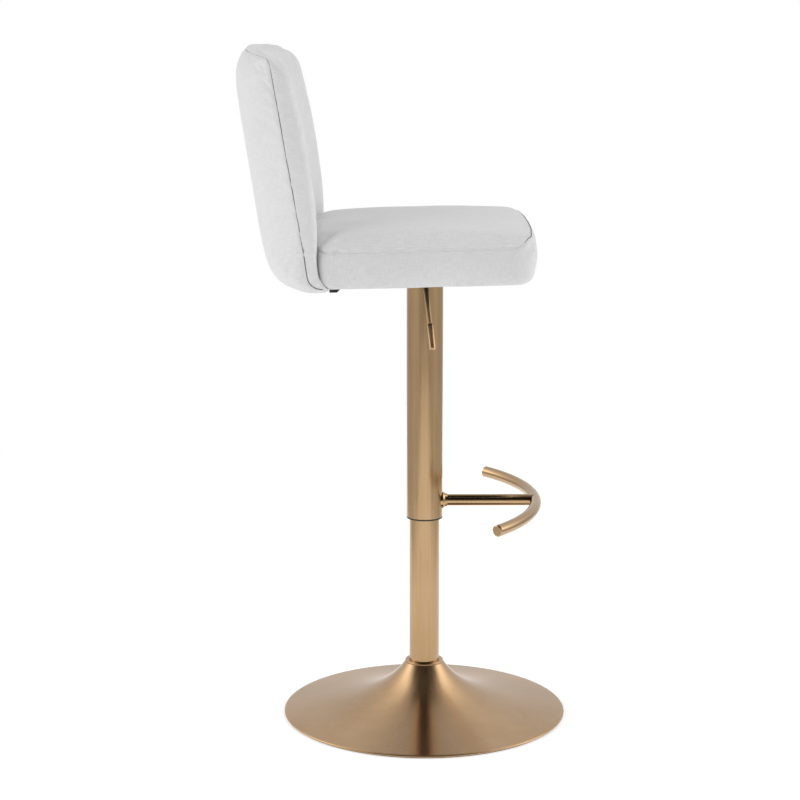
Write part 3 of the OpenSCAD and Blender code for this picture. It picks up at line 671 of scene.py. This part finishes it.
def lever_path():
    """The rod's centreline: through the pivot to the knee, round its bend and straight to the tip."""
    into, away = unit(PIVOT - KNEE), unit(TIP - KNEE)
    turn = math.pi - math.acos(float(into @ away))
    set_back = BEND_R * math.tan(turn / 2)
    centre = KNEE + unit(into + away) * BEND_R / math.cos(turn / 2)
    a, b = KNEE + into * set_back - centre, KNEE + away * set_back - centre
    axis = Vector(np.cross(a, b)).normalized()
    turns = [Matrix.Rotation(turn * k / BEND_STEPS, 3, axis) for k in range(BEND_STEPS + 1)]
    bend = [centre + np.array(m @ Vector(a)) for m in turns]
    start = PIVOT + INNER_REACH * (PIVOT - KNEE)
    return np.array([start, PIVOT + 0.3 * (KNEE - PIVOT)] + bend + [TIP - away * CAP_T])


away = unit(TIP - KNEE)
lever = sweep("height_lever", lever_path(), 4.0, 32, up=(1, 0, 0))
wear(lever, "lever_gold")
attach(lever, "release_lever")
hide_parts("release_lever")

grip = [TIP - away * k for k in (-CAP_T, -1.1, -0.4, 0.6, 2, 20, 38, 41, 42, 42.3)]
girth = [3.3, 4.2, 4.75, 5.0, 5.05, 5.05, 5.05, 5.0, 4.6, 4.05]
sleeve = sweep("lever_grip", grip, girth, 40, up=(1, 0, 0))
wear(sleeve, "lever_gold")
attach(sleeve, "release_lever")
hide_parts("lever_sleeve")

# ---------------------------------------------------------------- seat

SEAT_Z, TILT, AXIS_X = 755.0, math.radians(1.3), 225.0
SEAT_FRONT, SEAT_HALF, SEAT_REAR_R = 177.0, 206.0, 438.0
FRONT_BOW_R, FRONT_CORNER_R, REAR_CORNER_R = 2100.0, 30.0, 13.0
BRIM_Z, CROWN_Z, CROWN_X, CROWN_RUN, CROWN_SPAN, SHOULDER = 76.0, 90.0, -17.0, 194.0, 203.0, 19.0
to_stool = Matrix.Translation((0, 0, SEAT_Z)) @ Matrix.Rotation(-TILT, 4, "Y")


def in_stool(points):
    return np.asarray(points) @ np.array(to_stool.to_3x3()).T + [0, 0, SEAT_Z]


def seat_plan():
    """Plan of the seat at its widest, as four edges that meet in the middles of its corners."""
    w = SEAT_HALF
    y = w * np.sin(np.linspace(-90, 90, 181) * math.pi / 180)
    lines, ends = [], []
    front_x, rear_x = SEAT_FRONT - y * y / (2 * FRONT_BOW_R), AXIS_X - np.sqrt(SEAT_REAR_R**2 - y * y)
    for r, x, sign in ((FRONT_CORNER_R, front_x, -1), (REAR_CORNER_R, rear_x, 1)):
        past = np.maximum(0, np.abs(y) - (w - r))
        lines.append(np.stack([x + sign * (r - np.sqrt(np.maximum(0, r * r - past * past))), y], 1))
        at = w - r + r * math.sin(math.pi / 4)
        ends.append((int(np.argmin(np.abs(y + at))), int(np.argmin(np.abs(y - at)))))
    (front, rear), ((f0, f1), (r0, r1)) = lines, ends
    right = np.concatenate([rear[: r0 + 1][::-1], front[: f0 + 1]])
    left = np.concatenate([rear[r1:], front[f1:][::-1]])
    return right, front[f0 : f1 + 1], left, rear[r0 : r1 + 1]


nu, nv = 72, 76
heights = [75, 71.5, 68, 64, 59.5, 54.5, 49.5, 44.5, 39.5, 34.5, 29.5, 24.5]
heights += [20, 16, 12.5, 9.4, 6.6, 4.2, 2.4, 1.3, 1.0]
box = Box(nu, nv, len(heights) - 1)
right, front, left, rear = seat_plan()
edge = box.ring(coons(
    resample(right, nu, ends=0.4), resample(left, nu, ends=0.4),
    resample(rear, nv, ends=0.4), resample(front, nv, ends=0.4)))
tangent = np.roll(edge, -1, 0) - np.roll(edge, 1, 0)
tangent /= np.linalg.norm(tangent, axis=1)[:, None]
inward = np.stack([-tangent[:, 1], tangent[:, 0]], 1)
for _ in range(3):
    inward = (np.roll(inward, 1, 0) + 2 * inward + np.roll(inward, -1, 0)) / 4
inward /= np.linalg.norm(inward, axis=1)[:, None]
rearness = np.clip((inward[:, 0] - 0.2) / 0.6, 0, 1)
frontness = np.clip((-inward[:, 0] - 0.15) / 0.7, 0, 1)
for _ in range(6):
    frontness = (np.roll(frontness, 1) + frontness + np.roll(frontness, -1)) / 3
seam_h = 57.5 + 16.5 * frontness + 3.0 * rearness


def draw_in(h):
    """How far in from the widest plan the boxing is at height h, for each point round the edge."""
    roll = 9 + 3 * frontness + 10 * rearness
    to_rise = roll - max(0, h - 1)
    lower_edge = np.where(h - 1 < roll, roll - np.sqrt(np.maximum(0, roll**2 - to_rise**2)), 0)
    tuck = frontness * 5.0 * max(0, 1 - h / 42) ** 1.6
    upper_edge = (3.2 + 1.8 * frontness) * max(0, (h - 38) / 37) ** 2.0
    return lower_edge + tuck + upper_edge


rows = [
    np.column_stack([edge + inward * draw_in(h)[:, None], 1 + (h - 1) * (seam_h - 1) / (heights[0] - 1)])
    for h in heights
]
top, under = box.fill(rows[0]), box.fill(rows[-1])
u = np.abs((top[..., 0] - CROWN_X) / CROWN_RUN)
v = np.abs(top[..., 1] / CROWN_SPAN)
crowned = BRIM_Z + (CROWN_Z - BRIM_Z) * np.clip(1 - u**2.8, 0, 1) * np.clip(1 - v**2.8, 0, 1)
rim_tree = kdtree.KDTree(box.n)
for k, p in enumerate(rows[0]):
    rim_tree.insert(Vector((p[0], p[1], 0)), k)
rim_tree.balance()
from_rim = np.array([rim_tree.find(Vector((p[0], p[1], 0)))[2] for p in top.reshape(-1, 3)])
shoulder = np.sqrt(1 - (1 - np.clip(from_rim.reshape(nu + 1, nv + 1) / SHOULDER, 0, 1)) ** 2)
top[..., 2] += (crowned - top[..., 2]) * shoulder
run = lengths(edge)
seat = box.build(
    "seat_cushion", top, rows[1:-1], under, top[..., :2],
    [np.column_stack([run, np.full(box.n + 1, h)]) for h in heights], under[..., :2],
)
pins = np.zeros(len(seat.data.vertices))
pins[[box.band(0, k) for k in range(box.n)]] = 1
for row in (box.rows, box.rows - 1, box.rows - 2):
    pins[[box.band(row, k) for k in range(box.n)]] = 1
pins[box.far(0, 0) :] = 1
for row in range(1, box.rows - 2):
    behind = [box.band(row, k) for k in range(box.n) if rearness[k] > 0.5]
    pins[behind] = 0.9
print("seat swelled", inflate(seat, pins, 5.0))
subdivide(seat)
seam_ids = [box.band(0, k) for k in range(box.n)]
seam = coords(seat)[seam_ids]
ripple(seat, 0.7, (70, 45, 40), 3.0)
along_side = np.clip((152 - coords(seat)[:, 0]) / 30, 0, 1)
off_floor = np.clip((coords(seat)[:, 2] - 8) / 12, 0, 1)
pucker(seat, seam, 1.4 + 0.2 * along_side, 0.8 + 2.6 * along_side, 10, 7.5, 1.3, off_floor)
seam = coords(seat)[seam_ids]
flat = coords(seat)
flat[:, 2] = np.maximum(flat[:, 2], 1.0)
set_coords(seat, in_stool(flat))
wear(seat, "linen")
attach(seat, "carriage")
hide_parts("seat_cover", "seat_foam")

welt_path = seam + np.column_stack([-inward * 0.5, np.full(len(seam), -0.2)])
seat_welt = sweep("seat_welt", in_stool(welt_path), 0.75 + 0.25 * frontness, 10, closed=True)
wear(seat_welt, "welt")
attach(seat_welt, "carriage")
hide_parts("seat_piping")
# Dark cord along the seat's front seam: painted shade in place of the groove's shadow, laid only where the
# front seam reads dark
front_run = stretch([k for k in range(box.n) if frontness[k] > 0.5])
seam_shadow_path = (seam + np.column_stack([-inward * 0.1, np.full(len(seam), 1.1)]))[front_run]
seam_shadow_cord = sweep("seat_seam_shadow_cord", in_stool(seam_shadow_path), 0.55, 8, domed=True)
wear(seam_shadow_cord, "thread")
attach(seam_shadow_cord, "carriage")

# ---------------------------------------------------------------- back

LEAN = math.radians(8.8)
BACK_HALF, TOP_S, LIP_S = 203.0, 348.6, -43.0
# The rear face turns under at its foot: an arc of FOOT_R round FOOT, FOOT_RUN long, and then nearly level
FOOT, FOOT_R, FOOT_RUN = np.array([-214.27, 773.2]), 20, 28.0


def rear_curve(s):
    """Rear face in the middle plane at length s: a straight above 0, then the arc, then on to the lip."""
    s = np.asarray(s, float)
    angle = math.pi + LEAN + np.clip(-s, 0, FOOT_RUN) / FOOT_R
    along = np.clip(s, 0, None)
    level = np.clip(-s - FOOT_RUN, 0, None)
    x = FOOT[0] + FOOT_R * np.cos(angle) - along * math.sin(LEAN) + level * 0.985
    z = FOOT[1] + FOOT_R * np.sin(angle) + along * math.cos(LEAN) - level * 0.06
    return np.stack([x, z], -1)


def rear_normal(s):
    """Unit vector pointing out of the rear face."""
    angle = math.pi + LEAN + np.clip(-np.asarray(s, float), 0, FOOT_RUN) / FOOT_R
    return np.stack([np.cos(angle), np.sin(angle)], -1)


FRONT = spline([
    (-203.2, 752.4), (-208.6, 758.0), (-213.0, 767.5), (-215.6, 780.0), (-216.6, 797.0), (-215.2, 820.0),
    (-214.4, 850.0), (-216.2, 882.0), (-219.8, 915.0), (-224.0, 950.0), (-231.4, 1000.0), (-237.4, 1030.0),
    (-243.2, 1056.0), (-248.8, 1080.0), (-254.0, 1098.0), (-260.0, 1113.0),
])
FRONT_S = [LIP_S, -33, -20, 2, 22, 48, 79, 112, 145, 181, 231, 259, 283, 310, 329, TOP_S]
FRONT_T = np.interp(np.linspace(0, 15, len(FRONT)), range(16), FRONT_S)


def front_curve(s):
    return np.stack([np.interp(s, FRONT_T, FRONT[:, k]) for k in (0, 1)], -1)


def round_axis(flat_point, y):
    """Turns a point of the middle plane about the upright axis at AXIS_X until it is y off to the side."""
    orbit = AXIS_X - flat_point[..., 0]
    x = AXIS_X - np.sqrt(orbit**2 - y**2)
    return np.stack([x, np.broadcast_to(y, orbit.shape), flat_point[..., 1]], -1)


def turn_out(flat_vector, flat_point, y):
    """Turns a direction of the middle plane in the same way."""
    sine = y / (AXIS_X - flat_point[..., 0])
    cosine = np.sqrt(1 - sine**2)
    return np.stack([flat_vector[..., 0] * cosine, -flat_vector[..., 0] * sine, flat_vector[..., 1]], -1)


def on_front(plan, sink=0.0):
    """Points of the front face at a plan of (across, up), sunk in by some depth."""
    point = front_curve(plan[..., 1])
    slope = front_curve(plan[..., 1] + 2) - front_curve(plan[..., 1] - 2)
    slope /= np.maximum(np.linalg.norm(slope, axis=-1), 1e-6)[..., None]
    out = np.stack([slope[..., 1], -slope[..., 0]], -1)
    return round_axis(point, plan[..., 0]) - turn_out(out, point, plan[..., 0]) * np.asarray(sink)[..., None]


def on_rear(plan, lift=0.0):
    point = rear_curve(plan[..., 1])
    out = turn_out(rear_normal(plan[..., 1]), point, plan[..., 0])
    return round_axis(point, plan[..., 0]) + out * np.asarray(lift)[..., None]


def back_plan(r, crown):
    """Edge of the back laid flat, width across and length up, as four edges that meet in its corners.

    r is the radius of the top corners, and crown is how far the top falls towards them.
    """
    w, q, peak = BACK_HALF, 6.0, TOP_S - crown

    def arc(x, y, radius, start, end):
        turns = [math.radians(t) for t in np.linspace(start, end, 14)]
        return [(x + radius * math.cos(t), y + radius * math.sin(t)) for t in turns]

    over = [(y, TOP_S - crown * abs(y / (w - r)) ** 2.4) for y in np.linspace(r - w, w - r, 61)[1:-1]]
    low = arc(q - w, LIP_S + q, q, 225, 270) + arc(w - q, LIP_S + q, q, 270, 315)
    right = arc(w - q, LIP_S + q, q, 315, 360) + arc(w - r, peak - r, r, 0, 45)
    high = arc(r - w, peak - r, r, 135, 90) + over + arc(w - r, peak - r, r, 90, 45)
    left = arc(q - w, LIP_S + q, q, 225, 180) + arc(r - w, peak - r, r, 180, 135)
    return low, right, high, left


def plan_ring(r, crown):
    """Grid that fills the plan, and the ring round its edge."""
    low, right, high, left = back_plan(r, crown)
    flat = coons(
        resample(low, nu, ends=0.4), resample(high, nu, ends=0.4),
        resample(left, nv, ends=0.2), resample(right, nv, ends=0.2))
    return flat, back_box.ring(flat)


nu, nv, arc_n, band_n = 76, 76, 5, 8
rows_n = arc_n + band_n
back_box = Box(nu, nv, rows_n)
rear_flat, rear_ring = plan_ring(13.0, 7.0)
_, front_ring = plan_ring(38.0, 8.0)
heading = np.roll(front_ring, -1, 0) - np.roll(front_ring, 1, 0)
heading /= np.linalg.norm(heading, axis=1)[:, None]
outward = np.stack([heading[:, 1], -heading[:, 0]], 1)
upward = np.clip(outward[:, 1], 0, 1)
rear_edge = on_rear(rear_ring)
depth = np.linalg.norm(on_front(front_ring) - rear_edge, axis=1)
soft = np.minimum(17.0 + 1.0 * upward, 0.45 * depth)
inner = front_ring - outward * soft[:, None]

front_flat = back_box.fill(inner)
front_full = np.interp(front_flat[..., 1], [50, 120, 290, 330], [0, 1, 1, 0])
across = np.clip(1 - np.abs(front_flat[..., 0] / (BACK_HALF - 17)) ** 2.4, 0, 1)
front_face = on_front(front_flat, -3.0 * front_full * across)
climb = np.stack([-math.sin(LEAN) * outward[:, 1], math.cos(LEAN) * outward[:, 1]], 1)
side = turn_out(climb, rear_curve(rear_ring[:, 1]), rear_ring[:, 0])
side[:, 1] += outward[:, 0]
swell = (1.5 + 6.5 * upward**1.5) * np.interp(rear_ring[:, 1], [LIP_S, -10], [0, 1])
bands = []
for r in range(1, rows_n):
    a = min(r / arc_n, 1) * math.pi / 2
    point = on_front(front_ring - outward * (soft * (1 - math.sin(a)))[:, None], soft * (1 - math.cos(a)))
    if r > arc_n:
        t = (r - arc_n) / band_n
        point = point * (1 - t) + rear_edge * t
    t = r / rows_n
    bands.append(point + side * (swell * 6.75 * t * t * (1 - t))[:, None])

Y, S = rear_flat[..., 0], rear_flat[..., 1]
puff = np.interp(S, [LIP_S, -37, -28, -14, 0, 20, 60, 250, 290, 315, 332, 342, TOP_S],
                 [2.0, 9.0, 11.0, 14.0, 16.0, 19.0, 20.5, 21.0, 20.5, 17.5, 12.0, 7.0, 2.5])
heel = np.clip((60 - S) / 60, 0, 1)
e = np.abs(Y / BACK_HALF)
bulge = (1 - heel) * np.clip(1 - e**2.6, 0, 1) + heel * np.sqrt(np.clip(1 - e**8, 0, 1))
rear_face = on_rear(rear_flat, puff * bulge)
run = lengths(rear_ring)
depth = np.append(depth, depth[0])
back = back_box.build(
    "back_cushion", front_face, bands, rear_face, front_flat,
    [np.column_stack([run, depth * r / rows_n]) for r in range(rows_n + 1)], rear_flat,
)
pins = np.zeros(len(back.data.vertices))
pins[[back_box.band(rows_n, k) for k in range(back_box.n)]] = 1
for row in range(rows_n):
    pins[[back_box.band(row, k) for k in range(back_box.n)]] = 0.75
foot_ids = [k for k in range(back_box.n) if rear_ring[k, 1] < 8]
for row in range(rows_n + 1):
    pins[[back_box.band(row, k) for k in foot_ids]] = 1
for i in range(nu + 1):
    for j in range(nv + 1):
        if front_flat[i, j, 1] < 62:
            pins[back_box.face(i, j)] = 1
        if S[i, j] < -10:
            pins[back_box.far(i, j)] = max(pins[back_box.far(i, j)], 0.8)
print("back swelled", inflate(back, pins, 6.0))
subdivide(back)
rear_ids = [back_box.band(rows_n, k) for k in range(back_box.n)]
ripple(back, 0.8, (40, 60, 80), 8.0)
c = coords(back)
pucker(back, c[rear_ids], 1.7, 2.5, 13, 10, 4.4, np.clip((c[:, 2] - 757) / 60, 0, 1))
wear(back, "linen")
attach(back, "carriage")
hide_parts("back_cover", "back_foam", "back_rear_panel")

loop = coords(back)[rear_ids]
order = stretch([k for k in range(back_box.n) if rear_ring[k, 1] > -30.0])
path = loop[order] + side[order] * 0.9
welt = sweep("back_welt", path, 1.0, 10, up=(1, 0.01, 0), domed=True)
wear(welt, "welt")
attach(welt, "carriage")
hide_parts("back_piping")
# Dark cord beside the back's rear welt: painted shade in place of the shadow in the seam's groove
frontward = np.array([on_front(front_ring[k : k + 1])[0] - rear_edge[k] for k in order])
frontward /= np.linalg.norm(frontward, axis=1)[:, None]
seam_shadow_path = path + frontward * 1.2 + side[order] * 0.45
seam_shadow_cord = sweep("back_seam_shadow_cord", seam_shadow_path, 0.6, 8, up=(1, 0.01, 0), domed=True)
wear(seam_shadow_cord, "thread")
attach(seam_shadow_cord, "carriage")

# ---------------------------------------------------------------- underside


def prism(name, ring, low, high, bevel=0.6):
    """Flat board in the seat's frame from an outline, with softened edges."""
    n = len(ring)
    middle = ring.mean(0)
    shrink = ring + (middle - ring) / np.linalg.norm(middle - ring, axis=1)[:, None] * bevel
    layers = [(shrink, low), (ring, low + bevel), (ring, high - bevel), (shrink, high)]
    points = np.concatenate([np.column_stack([p, np.full(n, z)]) for p, z in layers])
    faces = []
    for r in range(len(layers) - 1):
        for k in range(n):
            m = (k + 1) % n
            faces.append((r * n + k, r * n + m, (r + 1) * n + m, (r + 1) * n + k))
    faces += [tuple(range(n))[::-1], tuple(3 * n + k for k in range(n))]
    return add_mesh(name, in_stool(points), faces, smooth=False)


board = prism("seat_base_board", (edge + inward * 19.0)[::3], 1.6, 12.8)
wear(board, "plywood")
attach(board, "carriage")
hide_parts("seat_board")

sheet_edge = edge + inward * 17.0
dust_plan = box.fill(np.column_stack([sheet_edge, np.zeros(box.n)]))[::2, ::2]
mu, mv = dust_plan.shape[0] - 1, dust_plan.shape[1] - 1
points = dust_plan.reshape(-1, 3).copy()
points[:, 2] = [0.55 + 0.28 * noise.noise(Vector((p[0] / 33, p[1] / 41, 2.0))) for p in points]
firsts = [i * (mv + 1) + j for i in range(mu) for j in range(mv)]
faces = [(k, k + 1, k + mv + 2, k + mv + 1) for k in firsts]
dust = add_mesh("seat_dust_cloth", in_stool(points), faces)
wear(dust, "dust")
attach(dust, "carriage")
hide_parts("dust_cover")
x, y = sheet_edge.T

# ---------------------------------------------------------------- stage


def world():
    """White to the camera. The object sees a dim room, dark on the camera's side and bright at the sides."""
    w = bpy.data.worlds.new("studio")
    bpy.context.scene.world = w
    w.use_nodes = True
    t = w.node_tree
    t.nodes.clear()
    new = t.nodes.new

    def maths(kind, a, b=0.0):
        node = new("ShaderNodeMath")
        node.operation = kind
        for socket, value in zip(node.inputs, (a, b)):
            if isinstance(value, (int, float)):
                socket.default_value = value
            else:
                t.links.new(value, socket)
        return node.outputs[0]

    def ramp(fac, stops):
        node = new("ShaderNodeValToRGB")
        while len(node.color_ramp.elements) < len(stops):
            node.color_ramp.elements.new(0.5)
        for element, (at, value) in zip(node.color_ramp.elements, stops):
            element.position = at
            element.color = (value, value, value, 1)
        t.links.new(fac, node.inputs[0])
        return node.outputs[0]

    def spread(value, a, b):
        node = new("ShaderNodeMapRange")
        node.interpolation_type = "SMOOTHSTEP"
        t.links.new(value, node.inputs["Value"])
        node.inputs["From Min"].default_value, node.inputs["From Max"].default_value = a, b
        return node.outputs[0]

    def blend(fac, a, b):
        node = new("ShaderNodeMix")
        node.data_type = "RGBA"
        t.links.new(fac, node.inputs[0])
        t.links.new(a, node.inputs[6])
        if isinstance(b, float):
            node.inputs[7].default_value = (b, b, b, 1)
        else:
            t.links.new(b, node.inputs[7])
        return node.outputs[2]

    place, split = new("ShaderNodeTexCoord"), new("ShaderNodeSeparateXYZ")
    t.links.new(place.outputs["Generated"], split.inputs[0])
    x, y, z = split.outputs
    flatness = maths("SQRT", maths("ADD", maths("POWER", x, 2.0), maths("POWER", y, 2.0)))
    forward = maths("DIVIDE", y, maths("MAXIMUM", flatness, 0.02))
    round_from_front = maths("MULTIPLY", maths("ADD", forward, 1.0), 0.5)

    def room(low, high, top):
        walls = blend(spread(z, 0.02, 0.3), ramp(round_from_front, low), ramp(round_from_front, high))
        return blend(spread(z, 0.86, 0.98), walls, top)

    seen, lit, shiny = (new("ShaderNodeBackground") for _ in range(3))
    mixer, choose = (new("ShaderNodeMixShader") for _ in range(2))
    path, out = new("ShaderNodeLightPath"), new("ShaderNodeOutputWorld")
    seen.inputs[0].default_value = (1, 1, 1, 1)
    t.links.new(room(LOW_RING, HIGH_RING, TOP_LIGHT), lit.inputs[0])
    lit.inputs[1].default_value = ROOM_LIGHT
    t.links.new(room(LOW_CARDS, HIGH_CARDS, TOP_CARD), shiny.inputs[0])
    t.links.new(path.outputs["Is Glossy Ray"], choose.inputs[0])
    t.links.new(lit.outputs[0], choose.inputs[1])
    t.links.new(shiny.outputs[0], choose.inputs[2])
    t.links.new(path.outputs["Is Camera Ray"], mixer.inputs[0])
    t.links.new(choose.outputs[0], mixer.inputs[1])
    t.links.new(seen.outputs[0], mixer.inputs[2])
    t.links.new(mixer.outputs[0], out.inputs[0])


def floor_sweep():
    """A long narrow sweep of white paper. The polished tubes show its sides and its front end."""
    points = [(-1050, -3300, -0.4), (1050, -3300, -0.4), (1050, 2600, -0.4), (-1050, 2600, -0.4)]
    obj = add_mesh("floor", points, [(0, 1, 2, 3)], smooth=False)
    m = bpy.data.materials.new("floor_pale")
    m.use_nodes = True
    t = m.node_tree
    t.nodes.clear()
    out, add, glow, matt = (t.nodes.new(k) for k in (
        "ShaderNodeOutputMaterial", "ShaderNodeAddShader", "ShaderNodeEmission", "ShaderNodeBsdfDiffuse"))
    glow.inputs[0].default_value = (1, 1, 1, 1)
    glow.inputs[1].default_value = 0.5
    matt.inputs[0].default_value = (0.7, 0.7, 0.7, 1)
    t.links.new(glow.outputs[0], add.inputs[0])
    t.links.new(matt.outputs[0], add.inputs[1])
    t.links.new(add.outputs[0], out.inputs[0])
    obj.data.materials.append(m)


def area_light(name, place, aim, size, power):
    data = bpy.data.lights.new(name, "AREA")
    data.shape = "RECTANGLE"
    data.size, data.size_y = size
    data.energy = power
    obj = bpy.data.objects.new(name, data)
    obj.location = place
    obj.rotation_euler = (Vector(aim) - Vector(place)).to_track_quat("-Z", "Y").to_euler()
    obj.visible_glossy = False
    bpy.context.scene.collection.objects.link(obj)


# Light from each direction as (way round, strength), low down and higher up. The way round goes from 0 on
# the camera's side to 1 on the far side
LOW_RING = [(0.0, 0.08), (0.09, 0.1), (0.17, 0.45), (0.3, 0.66), (0.75, 0.7), (1.0, 0.9)]
HIGH_RING = [(0.0, 0.08), (0.08, 0.1), (0.17, 0.6), (0.28, 1.0), (0.55, 1.0), (0.8, 0.62), (1.0, 0.55)]
TOP_LIGHT = 0.5
ROOM_LIGHT = 1.3
# What the polished metal sees: the same, for the cards and screens set up round it
LOW_CARDS = [(0.0, 0.26), (0.03, 0.3), (0.06, 0.56), (0.12, 0.6), (0.3, 0.72)]
LOW_CARDS += [(0.6, 0.6), (0.85, 0.56), (0.93, 0.66), (1.0, 0.79)]
HIGH_CARDS = [(0.0, 0.02), (0.28, 0.03), (0.37, 0.35), (0.48, 2.3)]
HIGH_CARDS += [(0.64, 2.3), (0.76, 1.2), (0.9, 0.78), (1.0, 0.69)]
TOP_CARD = 0.17
world()
floor_sweep()
for name, x in (("key_left", -2.4), ("key_right", 2.4)):
    area_light(name, (x, -2.2, 1.7), (0, 0, 0.8), (1.6, 2.2), 22)

camera = bpy.data.objects.new("camera", bpy.data.cameras.new("camera"))
camera.location = (-0.0663, -3.6192, 1.2635)
camera.rotation_euler = (math.radians(78.67), 0, math.radians(-0.4))
camera.data.lens = 100.2
camera.data.sensor_width = 36
camera.data.dof.use_dof = False
bpy.context.scene.collection.objects.link(camera)
bpy.context.scene.camera = camera
bpy.context.scene.view_settings.view_transform = "Standard"
